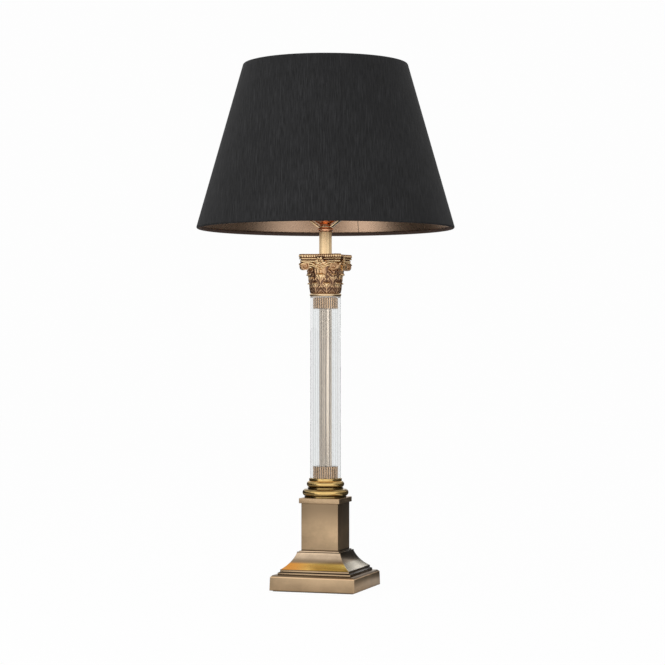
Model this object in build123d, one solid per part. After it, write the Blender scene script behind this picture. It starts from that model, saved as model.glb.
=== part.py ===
from build123d import *
import os
from math import atan2, cos, pi, sin, sqrt

# Column table lamp: a square stepped plinth and pedestal, a glass column round a metal tube,
# a Corinthian capital, and a conical shade on a harp.
# Millimetres, +Z up, origin where the lamp's axis meets the table. The front is -Y, the harp and its
# saddle lie along X, and the flex inlet is at the back, +Y.

# ---- clearances ----
SLIP = 0.15                 # between pieces that slide together by hand
SEAT_GAP = 0.3              # between a soft or curved piece and its seat
RUNNING = 0.05              # radial, round the switch shaft
TURNING = 0.1               # axial, above and below the shade's washer

# ---- foot ----
SLAB_W = 138.0
SLAB_BOTTOM = 1.5           # the felt lifts the slab off the table
SLAB_SIDE_H = 20.7
SLAB_H = 23.5
SLAB_WALL = 4.0
SLAB_WEB = 4.0
SLAB_DRAFT = 0.7            # each side leans in by this much towards its top
RIDGE_W = 131.0
FELT_T = 2.5
PLATE_T = 2.0
PLATE_SCREW_R = 2.0
PLATE_SCREW_HEAD_R = 3.8
PLATE_SCREW_L = 9.0
PLATE_SCREW_PITCH = 96.0

# ---- cove of the plinth ----
STEP_W = 118.0
STEP_H = 3.5
COVE_FOOT_W = 112.0
COVE_FOOT_RISE = 1.5
COVE_FOOT_H = 3.0
COVE_TOP_W = 71.0
COVE_H = 24.5
COVE_SAG = 2.6              # how far the hollow lies below its chord
COVE_TOP_H = 2.0
NECK_W = 65.0
NECK_H = 1.5
COVE_WALL = 5.0

# ---- pedestal ----
DIE_W = 60.0
DIE_H = 74.0
DIE_WALL = 3.0
CAP_W = 66.0
CAP_H = 8.0
CAP_LIP_H = 3.0
CAP_EDGE_R = 1.0

# ---- round base of the column ----
DISC_R = 33.0
DISC_H = 2.5
BIG_TORUS_R = 36.2
BIG_TORUS_H = 11.0
SCOTIA_R = 27.8
SCOTIA_H = 2.5
SMALL_TORUS_R = 29.5
SMALL_TORUS_H = 10.0
SEAT_R = 25.7
SEAT_H = 4.0
SEAT_RECESS = 2.5
TUBE_RECESS = 2.0

# ---- column ----
GLASS_R = 24.0
GLASS_WALL = 4.0
GLASS_L = 285.0
GASKET_T = 1.0
TUBE_R = 10.0
TUBE_WALL = 1.5
LOW_COLLAR_H = 19.0
TOP_COLLAR_H = 18.8
REED_COUNT = 36
REED_DEPTH = 0.9
ASTRAGAL_R = 25.0
ASTRAGAL_H = 6.2

# ---- capital ----
CAPITAL_H = 60.3
BELL_R = 22.3
BELL_THROAT_R = 27.4        # at the foot of the flare under the abacus
BELL_THROAT_H = 34.0
BELL_LIP_R = 30.0
BELL_H = 47.5
BELL_CORE_R = 15.0
LEAF_COUNT = 8              # in each of the two rows
LOW_LEAF_H = 14.5
LOW_LEAF_W = 17.0
LOW_LEAF_REACH = 1.2        # how far a tip curls out past the leaf's own face
TOP_LEAF_H = 28.5
TOP_LEAF_W = 18.5
TOP_LEAF_REACH = 2.4
LEAF_T = 1.9
LEAF_TIP_T = 0.7            # of the curled tip
LEAF_TIP_DROP = 3.4         # how far below the leaf's top its curled tip ends
LEAF_CURL_DROP = 1.6        # how far below the leaf's top the curl reaches furthest out
LEAF_CROWN_BACK = 1.5       # from there back to the crown of the curl
LEAF_SHOULDER_DROP = 1.0    # how far below the leaf's top its back meets the bell
LEAF_BEND_SHARE = 0.68      # the share of a leaf's height that lies along the bell
LEAF_LOBES = (              # one edge of a leaf from its foot up: shares of its half width and height
    (0.86, 0.0), (1.0, 0.30), (0.82, 0.40), (0.96, 0.60), (0.76, 0.70), (0.82, 0.86), (0.54, 1.02),
)
VOLUTE_R = 6.2
VOLUTE_AXIS_R = 38.6
VOLUTE_T = 8.0
VOLUTE_TURN_COUNT = 3       # half turns of the scroll
VOLUTE_BAND_T = 1.6         # the height of the rolled band
VOLUTE_WEB_T = 5.0          # the thickness inside the band
VOLUTE_EYE_R = 1.25
VOLUTE_STALK_H = 16.7       # how far below the scroll's top its stalk starts
ABACUS_CORNER_R = 45.0      # from the axis to a cut corner
ABACUS_CUT_W = 10.0
ABACUS_MID_R = 27.8         # from the axis to the middle of a hollow side
ABACUS_CUT_SHARE = 0.4      # how much a cut corner narrows where a layer stands back
FASCIA_H = 3.4
FASCIA_INSET = 2.4          # how far each layer stands back from the top band
GROOVE_H = 1.2
GROOVE_INSET = 3.4
FILLET_H = 2.6
FILLET_INSET = 0.8
SIDE_GADROON_COUNT = 16
CUT_GADROON_COUNT = 3
GADROON_DEPTH = 1.2
ROSETTE_R = 6.9
ROSETTE_T = 6.0
ROSETTE_STAND = 1.8         # how far the flower's middle stands out of the abacus
PETAL_COUNT = 6
PETAL_R = 2.6
PETAL_TOP_R = 1.5
ROSETTE_HEART_T = 4.2       # the thickness behind the petals
ROSETTE_EYE_R = 2.2
ROSETTE_EYE_TOP_R = 1.1
ROSETTE_EYE_T = 3.6

# ---- stem ----
STEM_L = 35.5
COLLAR_R = 12.0
COLLAR_H = 7.2

# ---- tie rod ----
ROD_R = 5.0
ROD_BORE_R = 3.2
ROD_CLEAR = 0.25
NUT_AF = 17.0
NUT_H = 5.0
NUT_RECESS_R = 16.0
WASHER_R = 12.0
WASHER_T = 1.5
LOCKNUT_AF = 14.0
LOCKNUT_H = 3.0

# ---- flex inlet at the back ----
FLEX_BORE_R = 3.6
FLEX_BUSH_R = 5.4
FLEX_FLANGE_R = 7.0
FLEX_FLANGE_T = 1.5
FLEX_Z = 11.0
FLEX_TAIL = 2.0
FLEX_CHANNEL_W = 13.0
FLEX_CHANNEL_H = 13.0

# ---- saddle and harp ----
SADDLE_T = 1.5
SADDLE_HUB_R = 11.0
SADDLE_W = 12.0
SADDLE_BEND_X = 10.2
SADDLE_POST_X = 28.0
SADDLE_RISE = 12.9          # of each arm, at 36 degrees to the table
SADDLE_UPRIGHT = 7.0
POST_H = 6.0
POST_SEAT_R = 3.6
WIRE_R = 1.75
SLEEVE_R = 3.2
SLEEVE_L = 14.0
HARP_H = 216.0              # from the foot of a leg to the underside of the shade's washer
HARP_STRAIGHT = 34.0
HARP_SHOULDER_Z = 81.0
HARP_WAIST_Z = 154.0
HARP_HALF_W = 52.0
HARP_TOP_X = 26.0
HARP_LEG_BEND_R = 30.0
HARP_TOP_BEND_R = 40.0
HARP_CROWN_BEND_R = 22.0
HARP_HUB_R = 7.0
HARP_HUB_DROP = 8.0
STUD_R = 3.1
STUD_L = 10.0

# ---- lampholder ----
HOLDER_NECK_R = 8.2
HOLDER_NECK_H = 2.8
HOLDER_FLOOR_T = 4.0
HOLDER_CAP_R = 19.0
HOLDER_CAP_WALL = 0.8
HOLDER_CAP_FLARE_H = 9.5
HOLDER_CAP_H = 20.0
HOLDER_SHELL_R = 18.0
HOLDER_SHELL_WALL = 0.6
HOLDER_SHELL_L = 45.0
LINER_T = 0.6
BODY_L = 20.6
SCREW_SHELL_R = 13.85
SCREW_SHELL_WALL = 0.4
SCREW_SHELL_L = 22.0
CONTACT_R = 3.5
CONTACT_T = 2.3
TERMINAL_R = 3.0
TERMINAL_SHANK_R = 1.7
TERMINAL_HEAD_T = 2.0
TERMINAL_L = 7.0
TERMINAL_POCKET_R = 4.2
TERMINAL_POCKET_D = 3.4
TERMINAL_DROP = 13.0        # below the top of the body

# ---- switch ----
SWITCH_DROP = 8.5           # of the shaft's axis below the top of the body
SHAFT_R = 1.6
SHAFT_REACH = 36.0
SHAFT_DEPTH = 8.0
SHELL_HOLE_R = 3.6
KNOB_R = 5.5
KNOB_L = 13.0
KNOB_END = 2.0
KNOB_RIB_COUNT = 16
KNOB_RIB_DEPTH = 0.6

# ---- bulb, a 60 mm lamp with a 27 mm screw cap ----
BULB_L = 105.0
BULB_R = 30.0
BULB_WALL = 0.8
BULB_CAP_R = 13.2
BULB_CAP_WALL = 0.4
BULB_CAP_L = 24.0
BULB_NECK_PULL = 0.7        # how stiffly the envelope's flare leaves its neck, 1 at its head
BULB_CONTACT_R = 4.5
BULB_CONTACT_T = 1.0
BULB_INSULATOR_T = 4.0
BULB_STEM_R = 4.0
BULB_STEM_L = 34.0
FILAMENT_R = 0.6
FILAMENT_SPAN = 22.0
FILAMENT_LEAD = 16.0
FILAMENT_BEND_R = 2.0

# ---- shade ----
SHADE_BOTTOM_R = 203.0
SHADE_TOP_R = 129.0
SHADE_H = 258.0
SHADE_BOTTOM_Z = 565.0
COVER_T = 0.9
LINING_T = 0.4
HEM = 5.5
RING_R = 1.3
SPIDER_WASHER_R = 16.0
SPIDER_WASHER_T = 1.5
SPOKE_COUNT = 3
SPOKE_R = 1.5
SPOKE_START_R = 13.0
SPOKE_SLOT = 0.4

# ---- finial ----
FINIAL_BASE_R = 7.0
FINIAL_BASE_H = 2.2
FINIAL_NECK_R = 3.9
FINIAL_NECK_H = 2.4
FINIAL_BALL_R = 7.2
FINIAL_TIP_H = 2.0

# ---- levels, from the table up ----
SLAB_TOP = SLAB_BOTTOM + SLAB_H
SLAB_CEILING = SLAB_TOP - SLAB_WEB
PLATE_Z = FELT_T
WEIGHT_Z = PLATE_Z + PLATE_T
COVE_FOOT_Z = SLAB_TOP + STEP_H + COVE_FOOT_RISE
COVE_Z = COVE_FOOT_Z + COVE_FOOT_H
COVE_TOP_Z = COVE_Z + COVE_H
DIE_Z = COVE_TOP_Z + COVE_TOP_H + NECK_H
CAP_Z = DIE_Z + DIE_H
DISC_Z = CAP_Z + CAP_H
BIG_TORUS_Z = DISC_Z + DISC_H
SCOTIA_Z = BIG_TORUS_Z + BIG_TORUS_H
SMALL_TORUS_Z = SCOTIA_Z + SCOTIA_H
SEAT_Z = SMALL_TORUS_Z + SMALL_TORUS_H
SEAT_TOP = SEAT_Z + SEAT_H
GLASS_Z = SEAT_TOP - SEAT_RECESS + GASKET_T
GLASS_TOP = GLASS_Z + GLASS_L
ASTRAGAL_Z = GLASS_TOP + GASKET_T
CAPITAL_Z = ASTRAGAL_Z + ASTRAGAL_H
CAPITAL_TOP = CAPITAL_Z + CAPITAL_H
COLLAR_Z = CAPITAL_TOP + STEM_L
SADDLE_Z = COLLAR_Z + COLLAR_H
HOLDER_Z = SADDLE_Z + SADDLE_T
BODY_TOP = HOLDER_Z + HOLDER_CAP_FLARE_H + SEAT_GAP + BODY_L
CONTACT_TOP = BODY_TOP + CONTACT_T
POST_Z = SADDLE_Z + SADDLE_T / 2 + SADDLE_RISE + SADDLE_UPRIGHT
LEG_Z = POST_Z + POST_H
WASHER_Z = LEG_Z + HARP_H
FINIAL_Z = WASHER_Z + SPIDER_WASHER_T + TURNING
ROD_HOLE_R = ROD_R + ROD_CLEAR
GLASS_BORE_R = GLASS_R - GLASS_WALL
COLLAR_FIT_R = GLASS_BORE_R - SEAT_GAP
TUBE_HOLE_R = TUBE_R + SLIP


# ---- helpers ----
def solid_of(shape):
    """The single solid that a boolean left."""
    found = shape.solids()
    assert len(found) == 1, len(found)
    return found[0]


def polygon(points):
    """A closed face from (across, up) points, standing in the XZ plane."""
    return Plane.XZ * make_face(Polyline(*points, close=True))


def outline(*edges):
    """A closed face from edges drawn as (across, up), standing in the XZ plane."""
    return Plane.XZ * make_face(Wire(edges))


def turned(face):
    """The solid that a face in the XZ plane sweeps about the lamp's axis."""
    return revolve(face, axis=Axis.Z).solid()


def tube(outer, inner, low, high):
    """A round tube standing on the lamp's axis."""
    return turned(polygon([(inner, low), (outer, low), (outer, high), (inner, high)]))


def bar(radius, low, high):
    """A round bar standing on the lamp's axis."""
    return Pos(0, 0, low) * Cylinder(radius, high - low, align=(Align.CENTER, Align.CENTER, Align.MIN))


def square(width, low, high):
    """A square block standing on the lamp's axis."""
    return Pos(0, 0, low) * Box(width, width, high - low, align=(Align.CENTER, Align.CENTER, Align.MIN))


def mitred(right_edges, low, high):
    """A square moulding: its half-outline is mirrored and run both ways, and the overlap is kept."""
    left_edges = [edge.mirror(Plane.YZ) for edge in right_edges]
    first = right_edges[0] @ 0
    last = right_edges[-1] @ 1
    foot = Line((-first.X, low), (first.X, low))
    head = Line((-last.X, high), (last.X, high))
    face = Plane.XZ * make_face(Wire([foot, head, *right_edges, *left_edges]))
    run = extrude(face, amount=SLAB_W, both=True)
    return solid_of(run & (Rot(Z=90) * run))


def hexagon(across_flats, hole_r, low, high):
    """A plain hexagon nut."""
    face = Pos(0, 0, low) * RegularPolygon(across_flats / 2, 6, major_radius=False)
    return solid_of(extrude(face, amount=high - low) - bar(hole_r, low - 1, high + 1))


def reeded(outer, hole_r, low, high, count, depth):
    """A ring whose rim is a row of upright half-round reeds."""
    half_pitch = pi / count
    valley = Vector(cos(half_pitch), sin(half_pitch)) * (outer - depth)
    reed = ThreePointArc((valley.X, -valley.Y), (outer, 0), (valley.X, valley.Y))
    rim = [Rot(Z=360 * k / count) * reed for k in range(count)]
    face = Pos(0, 0, low) * make_face(Wire(rim))
    return solid_of(extrude(face, amount=high - low) - bar(hole_r, low - 1, high + 1))


def strip(points, thickness):
    """A face of even thickness along a bent centre line in the XZ plane, with mitred corners."""
    line = [Vector(x, z) for x, z in points]
    sides = []
    for k, here in enumerate(line):
        before = (here - line[k - 1]).normalized() if k else None
        after = (line[k + 1] - here).normalized() if k + 1 < len(line) else None
        along = ((before or after) + (after or before)).normalized()
        normal = Vector(-along.Y, along.X)
        turn = (after or before)
        spread = thickness / 2 / abs(normal.dot(Vector(-turn.Y, turn.X)))
        sides.append((here + normal * spread, here - normal * spread))
    ring = [left for left, right in sides] + [right for left, right in reversed(sides)]
    return polygon([(p.X, p.Y) for p in ring])


# ---- foot ----
def base_felt():
    return square(SLAB_W - 2 * SLAB_WALL - 2 * SEAT_GAP, 0, FELT_T)


def screw_places():
    half = PLATE_SCREW_PITCH / 2
    return [(x, y) for x in (-half, half) for y in (-half, half)]


def base_plate():
    plate = square(SLAB_W - 2 * SLAB_WALL - 2 * SEAT_GAP, PLATE_Z, WEIGHT_Z)
    plate -= bar(NUT_RECESS_R, PLATE_Z - 1, WEIGHT_Z + 1)
    for x, y in screw_places():
        sink = Cone(PLATE_SCREW_HEAD_R + SLIP, PLATE_SCREW_R + SLIP, PLATE_T)
        plate -= Pos(x, y, PLATE_Z + PLATE_T / 2) * sink
    return solid_of(plate)


def plate_screws():
    screws = []
    for x, y in screw_places():
        head = Pos(x, y, PLATE_Z + PLATE_T / 2) * Cone(PLATE_SCREW_HEAD_R, PLATE_SCREW_R, PLATE_T)
        shank = Pos(x, y, 0) * bar(PLATE_SCREW_R, WEIGHT_Z, PLATE_Z + PLATE_SCREW_L)
        screws.append(solid_of(head + shank))
    return Compound(children=screws)


def base_weight():
    weight = square(SLAB_W - 2 * SLAB_WALL - 4 * SEAT_GAP, WEIGHT_Z, SLAB_CEILING)
    weight -= bar(ROD_HOLE_R, WEIGHT_Z - 1, SLAB_TOP)
    weight -= bar(NUT_RECESS_R, WEIGHT_Z - 1, WEIGHT_Z + NUT_H + WASHER_T + SLAB_WALL)
    channel = Box(FLEX_CHANNEL_W, SLAB_W, FLEX_CHANNEL_H, align=(Align.CENTER, Align.MIN, Align.MIN))
    weight -= Pos(0, 0, WEIGHT_Z) * channel
    for x, y in screw_places():
        weight -= Pos(x, y, 0) * bar(PLATE_SCREW_R + SLIP, WEIGHT_Z, PLATE_Z + PLATE_SCREW_L + 1)
    return solid_of(weight)


def plinth_slab():
    half = SLAB_W / 2
    side_top = SLAB_BOTTOM + SLAB_SIDE_H
    edges = [
        Line((half, SLAB_BOTTOM), (half - SLAB_DRAFT, side_top)),
        Line((half - SLAB_DRAFT, side_top), (half - 2 * SLAB_DRAFT, side_top + SLAB_DRAFT)),
        Line((half - 2 * SLAB_DRAFT, side_top + SLAB_DRAFT), (RIDGE_W / 2, SLAB_TOP)),
    ]
    slab = mitred(edges, SLAB_BOTTOM, SLAB_TOP)
    slab -= square(SLAB_W - 2 * SLAB_WALL, 0, SLAB_CEILING)
    slab -= bar(ROD_HOLE_R, 0, SLAB_TOP + 1)
    slab -= Pos(0, half, FLEX_Z) * Rot(X=90) * Cylinder(FLEX_BUSH_R + SLIP, 4 * SLAB_WALL)
    return solid_of(slab)


def flex_bush():
    wall_face = SLAB_W / 2
    inner_end = wall_face - SLAB_WALL - FLEX_TAIL
    bush = Pos(0, inner_end, FLEX_Z) * Rot(X=-90) * bar(FLEX_BUSH_R, 0, wall_face - inner_end)
    bush += Pos(0, wall_face, FLEX_Z) * Rot(X=-90) * bar(FLEX_FLANGE_R, 0, FLEX_FLANGE_T)
    bush -= Pos(0, wall_face, FLEX_Z) * Rot(X=90) * Cylinder(FLEX_BORE_R, 6 * SLAB_WALL)
    return solid_of(bush)


def plinth_cove():
    step = STEP_W / 2
    foot = COVE_FOOT_W / 2
    top = COVE_TOP_W / 2
    neck = NECK_W / 2
    middle = Vector((foot + top) / 2, COVE_Z + COVE_H / 2)
    hollow = middle + Vector(-COVE_H, top - foot).normalized() * COVE_SAG
    shelf = COVE_TOP_Z + COVE_TOP_H
    edges = [
        Line((step, SLAB_TOP), (step, SLAB_TOP + STEP_H)),
        Line((step, SLAB_TOP + STEP_H), (foot, SLAB_TOP + STEP_H + COVE_FOOT_RISE)),
        Line((foot, COVE_FOOT_Z), (foot, COVE_Z)),
        ThreePointArc((foot, COVE_Z), (hollow.X, hollow.Y), (top, COVE_TOP_Z)),
        Line((top, COVE_TOP_Z), (top, shelf)),
        Line((top, shelf), (neck, shelf)),
        Line((neck, shelf), (neck, DIE_Z)),
    ]
    cove = mitred(edges, SLAB_TOP, DIE_Z)
    cove -= square(COVE_FOOT_W - 4 * COVE_WALL, SLAB_TOP - 1, COVE_Z)
    cove -= square(NECK_W - 4 * COVE_WALL, COVE_Z - 1, COVE_TOP_Z - COVE_WALL)
    cove -= bar(ROD_HOLE_R, SLAB_TOP - 1, DIE_Z + 1)
    return solid_of(cove)


# ---- pedestal ----
def pedestal_die():
    return solid_of(square(DIE_W, DIE_Z, CAP_Z) - square(DIE_W - 2 * DIE_WALL, DIE_Z - 1, CAP_Z + 1))


def pedestal_cap():
    slab = square(CAP_W, CAP_Z, DISC_Z)
    slab = fillet(slab.edges().filter_by(Axis.Z, reverse=True).group_by(Axis.Z)[-1], CAP_EDGE_R)
    slab += square(DIE_W - 2 * DIE_WALL - 2 * SLIP, CAP_Z - CAP_LIP_H, CAP_Z)
    slab -= bar(ROD_HOLE_R, CAP_Z - CAP_LIP_H - 1, DISC_Z + 1)
    return solid_of(slab)


# ---- round base of the column ----
def lower_torus():
    bulge = BIG_TORUS_R - BIG_TORUS_H / 2
    return turned(outline(
        Line((ROD_HOLE_R, DISC_Z), (DISC_R, DISC_Z)),
        Line((DISC_R, DISC_Z), (DISC_R, BIG_TORUS_Z)),
        Line((DISC_R, BIG_TORUS_Z), (bulge, BIG_TORUS_Z)),
        ThreePointArc((bulge, BIG_TORUS_Z), (BIG_TORUS_R, BIG_TORUS_Z + BIG_TORUS_H / 2), (bulge, SCOTIA_Z)),
        Line((bulge, SCOTIA_Z), (SCOTIA_R, SCOTIA_Z)),
        Line((SCOTIA_R, SCOTIA_Z), (SCOTIA_R, SMALL_TORUS_Z)),
        Line((SCOTIA_R, SMALL_TORUS_Z), (ROD_HOLE_R, SMALL_TORUS_Z)),
        Line((ROD_HOLE_R, SMALL_TORUS_Z), (ROD_HOLE_R, DISC_Z)),
    ))


def upper_torus():
    bulge = SMALL_TORUS_R - SMALL_TORUS_H / 2
    middle = SMALL_TORUS_Z + SMALL_TORUS_H / 2
    return turned(outline(
        Line((ROD_HOLE_R, SMALL_TORUS_Z), (bulge, SMALL_TORUS_Z)),
        ThreePointArc((bulge, SMALL_TORUS_Z), (SMALL_TORUS_R, middle), (bulge, SEAT_Z)),
        Line((bulge, SEAT_Z), (ROD_HOLE_R, SEAT_Z)),
        Line((ROD_HOLE_R, SEAT_Z), (ROD_HOLE_R, SMALL_TORUS_Z)),
    ))


def glass_seat():
    groove_floor = SEAT_TOP - SEAT_RECESS
    tube_floor = SEAT_TOP - TUBE_RECESS
    return turned(polygon([
        (ROD_HOLE_R, SEAT_Z), (SEAT_R, SEAT_Z), (SEAT_R, SEAT_TOP), (GLASS_R + SEAT_GAP, SEAT_TOP),
        (GLASS_R + SEAT_GAP, groove_floor), (COLLAR_FIT_R, groove_floor), (COLLAR_FIT_R, SEAT_TOP),
        (TUBE_HOLE_R, SEAT_TOP), (TUBE_HOLE_R, tube_floor), (ROD_HOLE_R, tube_floor),
    ]))


# ---- column ----
def astragal_ring():
    bulge = ASTRAGAL_R - ASTRAGAL_H / 2
    return turned(outline(
        Line((TUBE_HOLE_R, ASTRAGAL_Z), (bulge, ASTRAGAL_Z)),
        ThreePointArc((bulge, ASTRAGAL_Z), (ASTRAGAL_R, ASTRAGAL_Z + ASTRAGAL_H / 2), (bulge, CAPITAL_Z)),
        Line((bulge, CAPITAL_Z), (ROD_HOLE_R, CAPITAL_Z)),
        Line((ROD_HOLE_R, CAPITAL_Z), (ROD_HOLE_R, ASTRAGAL_Z + TUBE_RECESS)),
        Line((ROD_HOLE_R, ASTRAGAL_Z + TUBE_RECESS), (TUBE_HOLE_R, ASTRAGAL_Z + TUBE_RECESS)),
        Line((TUBE_HOLE_R, ASTRAGAL_Z + TUBE_RECESS), (TUBE_HOLE_R, ASTRAGAL_Z)),
    ))


# ---- capital ----
def bell_r(level):
    """The bell's radius at a height above its foot, below the flare."""
    return BELL_R + (BELL_THROAT_R - BELL_R) * level / BELL_THROAT_H


def bell():
    throat_z = CAPITAL_Z + BELL_THROAT_H
    lip_z = CAPITAL_Z + BELL_H
    flare = (bell_r((BELL_THROAT_H + BELL_H) / 2), (throat_z + lip_z) / 2)
    return turned(outline(
        Line((0, CAPITAL_Z), (BELL_R, CAPITAL_Z)),
        Line((BELL_R, CAPITAL_Z), (BELL_THROAT_R, throat_z)),
        ThreePointArc((BELL_THROAT_R, throat_z), flare, (BELL_LIP_R, lip_z)),
        Line((BELL_LIP_R, lip_z), (0, lip_z)),
        Line((0, lip_z), (0, CAPITAL_Z)),
    ))


def leaf(height, width, reach):
    """An acanthus leaf facing +X: its side view, which curls out at the tip, cut to its lobed front view."""
    top = CAPITAL_Z + height
    bend_h = height * LEAF_BEND_SHARE
    bend = (bell_r(bend_h) + LEAF_T, CAPITAL_Z + bend_h)
    reach_r = bell_r(height) + LEAF_T + reach
    tip = (reach_r - LEAF_TIP_T, top - LEAF_TIP_DROP)
    curl = (reach_r, top - LEAF_CURL_DROP)
    crown = (reach_r - LEAF_CROWN_BACK, top)
    shoulder = (bell_r(height) - LEAF_T / 2, top - LEAF_SHOULDER_DROP)
    lean = ((bend[0] + shoulder[0] + LEAF_T) / 2, (bend[1] + tip[1]) / 2)
    heel = (BELL_R - LEAF_T, CAPITAL_Z)
    toe = (BELL_R + LEAF_T, CAPITAL_Z)
    side = outline(
        Line(heel, toe), Line(toe, bend), ThreePointArc(bend, lean, tip), ThreePointArc(tip, curl, crown),
        Line(crown, shoulder), Line(shoulder, heel),
    )
    blade = extrude(side, amount=width, both=True)
    right = [(width / 2 * across, CAPITAL_Z + height * up) for across, up in LEAF_LOBES]
    left = [(-across, level) for across, level in reversed(right)]
    front = Plane.YZ * make_face(Polyline(*right, *left, close=True))
    return solid_of(blade & extrude(front, amount=2 * reach_r))


def arc_about(centre, radius, begin, end):
    """An arc about a centre in the (across, up) plane, between two angles in radians."""
    angles = (begin, (begin + end) / 2, end)
    return ThreePointArc(*[(centre[0] + radius * cos(t), centre[1] + radius * sin(t)) for t in angles])


def volute():
    """A corner scroll facing +X: a stalk that leaves the bell, rolls up in half circles, and has an eye."""
    centre_z = CAPITAL_Z + BELL_H - VOLUTE_R
    half_band = VOLUTE_BAND_T / 2
    top = centre_z + VOLUTE_R
    rise = VOLUTE_STALK_H
    run = VOLUTE_AXIS_R - BELL_R + LEAF_T
    stalk_r = (run * run + rise * rise) / (2 * rise)
    turns = [((VOLUTE_AXIS_R, top - stalk_r), stalk_r, pi / 2 + atan2(run, stalk_r - rise), pi / 2)]
    radius, level, angle = VOLUTE_R, top, pi / 2
    for _ in range(VOLUTE_TURN_COUNT):
        centre = (VOLUTE_AXIS_R, level - radius * sin(angle))
        turns.append((centre, radius, angle, angle - pi))
        level = centre[1] - radius * sin(angle)
        angle -= pi
        radius -= VOLUTE_R / (2 * VOLUTE_TURN_COUNT)
    outer = [arc_about(c, r + half_band, begin, end) for c, r, begin, end in turns]
    inner = [arc_about(c, r - half_band, begin, end) for c, r, begin, end in turns]
    ends = [Line(outer[0] @ 0, inner[0] @ 0), Line(outer[-1] @ 1, inner[-1] @ 1)]
    scroll = extrude(outline(*outer, *inner, *ends), amount=VOLUTE_T / 2, both=True)
    rim = [arc_about(*turn) for turn in turns[1:3]]
    web = extrude(outline(*rim, Line(rim[1] @ 1, rim[0] @ 0)), amount=VOLUTE_WEB_T / 2, both=True)
    eye = Pos(VOLUTE_AXIS_R, 0, centre_z) * Rot(X=90) * Cylinder(VOLUTE_EYE_R, VOLUTE_T)
    return scroll + web + eye


def abacus_side(inset):
    """The right-hand hollow side and the cut corner after it, as (corner point, middle of the hollow)."""
    corner = (ABACUS_CORNER_R - inset) / sqrt(2)
    half_cut = (ABACUS_CUT_W / 2 - inset * ABACUS_CUT_SHARE) / sqrt(2)
    return (corner + half_cut, corner - half_cut), ABACUS_MID_R - inset


def abacus_layer(inset, low, high):
    """One plain layer of the abacus: four hollow sides and four cut corners."""
    (far, near), middle = abacus_side(inset)
    edges = []
    for k in range(4):
        side = ThreePointArc((far, -near), (middle, 0), (far, near))
        cut = Line((far, near), (near, far))
        edges += [Rot(Z=90 * k) * side, Rot(Z=90 * k) * cut]
    return extrude(Pos(0, 0, low) * make_face(Wire(edges)), amount=high - low)


def gadroon_layer(low, high):
    """The abacus's top band, whose edge is a row of upright ridges."""
    (far, near), middle = abacus_side(0)
    rise = far - middle
    arc_r = (near * near + rise * rise) / (2 * rise)
    rim = []
    for k in range(4):
        turn = k * pi / 2
        points = []
        for j in range(2 * SIDE_GADROON_COUNT):
            y = near * ((j + 0.5) / SIDE_GADROON_COUNT - 1)
            x = middle + arc_r - sqrt(arc_r * arc_r - y * y)
            points.append((x - GADROON_DEPTH * (j % 2), y))
        for j in range(2 * CUT_GADROON_COUNT):
            share = (j + 0.5) / (2 * CUT_GADROON_COUNT)
            depth = GADROON_DEPTH * (j % 2) / sqrt(2)
            points.append((far + (near - far) * share - depth, near + (far - near) * share - depth))
        rim += [(x * cos(turn) - y * sin(turn), x * sin(turn) + y * cos(turn)) for x, y in points]
    return extrude(Pos(0, 0, low) * make_face(Polyline(*rim, close=True)), amount=high - low)


def rosette():
    """A six-petalled flower on the middle of a hollow side, facing +X."""
    ring_r = ROSETTE_R - PETAL_R
    flower = Cylinder(ring_r, ROSETTE_HEART_T)
    for k in range(PETAL_COUNT):
        angle = 2 * pi * k / PETAL_COUNT
        flower += Pos(ring_r * cos(angle), ring_r * sin(angle), 0) * Cone(PETAL_R, PETAL_TOP_R, ROSETTE_T)
    flower += Pos(0, 0, ROSETTE_T / 2) * Cone(ROSETTE_EYE_R, ROSETTE_EYE_TOP_R, ROSETTE_EYE_T)
    centre_z = CAPITAL_Z + BELL_H + FASCIA_H / 2
    return Pos(ABACUS_MID_R + ROSETTE_STAND, 0, centre_z) * Rot(Y=90) * flower


def capital():
    """The whole casting: bell, two rows of leaves, four scrolls, layered abacus and four flowers."""
    fascia_z = CAPITAL_Z + BELL_H
    groove_z = fascia_z + FASCIA_H
    fillet_z = groove_z + GROOVE_H
    band_z = fillet_z + FILLET_H
    low_leaf = leaf(LOW_LEAF_H, LOW_LEAF_W, LOW_LEAF_REACH)
    top_leaf = leaf(TOP_LEAF_H, TOP_LEAF_W, TOP_LEAF_REACH)
    scroll = volute()
    flower = rosette()
    pitch = 360 / LEAF_COUNT
    pieces = [Rot(Z=pitch * k) * top_leaf for k in range(LEAF_COUNT)]
    pieces += [Rot(Z=pitch * (k + 0.5)) * low_leaf for k in range(LEAF_COUNT)]
    pieces += [Rot(Z=45 + 90 * k) * scroll for k in range(4)]
    pieces += [Rot(Z=90 * k) * flower for k in range(4)]
    pieces.append(abacus_layer(FASCIA_INSET, fascia_z, groove_z))
    pieces.append(abacus_layer(GROOVE_INSET, groove_z, fillet_z))
    pieces.append(abacus_layer(FILLET_INSET, fillet_z, band_z))
    pieces.append(gadroon_layer(band_z, CAPITAL_TOP))
    body = bell().fuse(*[solid for piece in pieces for solid in piece.solids()])
    body -= bar(ROD_HOLE_R, CAPITAL_Z - 1, CAPITAL_TOP + 1)
    body -= bar(BELL_CORE_R, CAPITAL_Z - 1, fascia_z)
    return solid_of(body)


# ---- stem ----
def stem_collar():
    bulge = COLLAR_R - COLLAR_H / 2
    return turned(outline(
        Line((ROD_HOLE_R, COLLAR_Z), (bulge, COLLAR_Z)),
        ThreePointArc((bulge, COLLAR_Z), (COLLAR_R, COLLAR_Z + COLLAR_H / 2), (bulge, SADDLE_Z)),
        Line((bulge, SADDLE_Z), (ROD_HOLE_R, SADDLE_Z)),
        Line((ROD_HOLE_R, SADDLE_Z), (ROD_HOLE_R, COLLAR_Z)),
    ))


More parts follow.
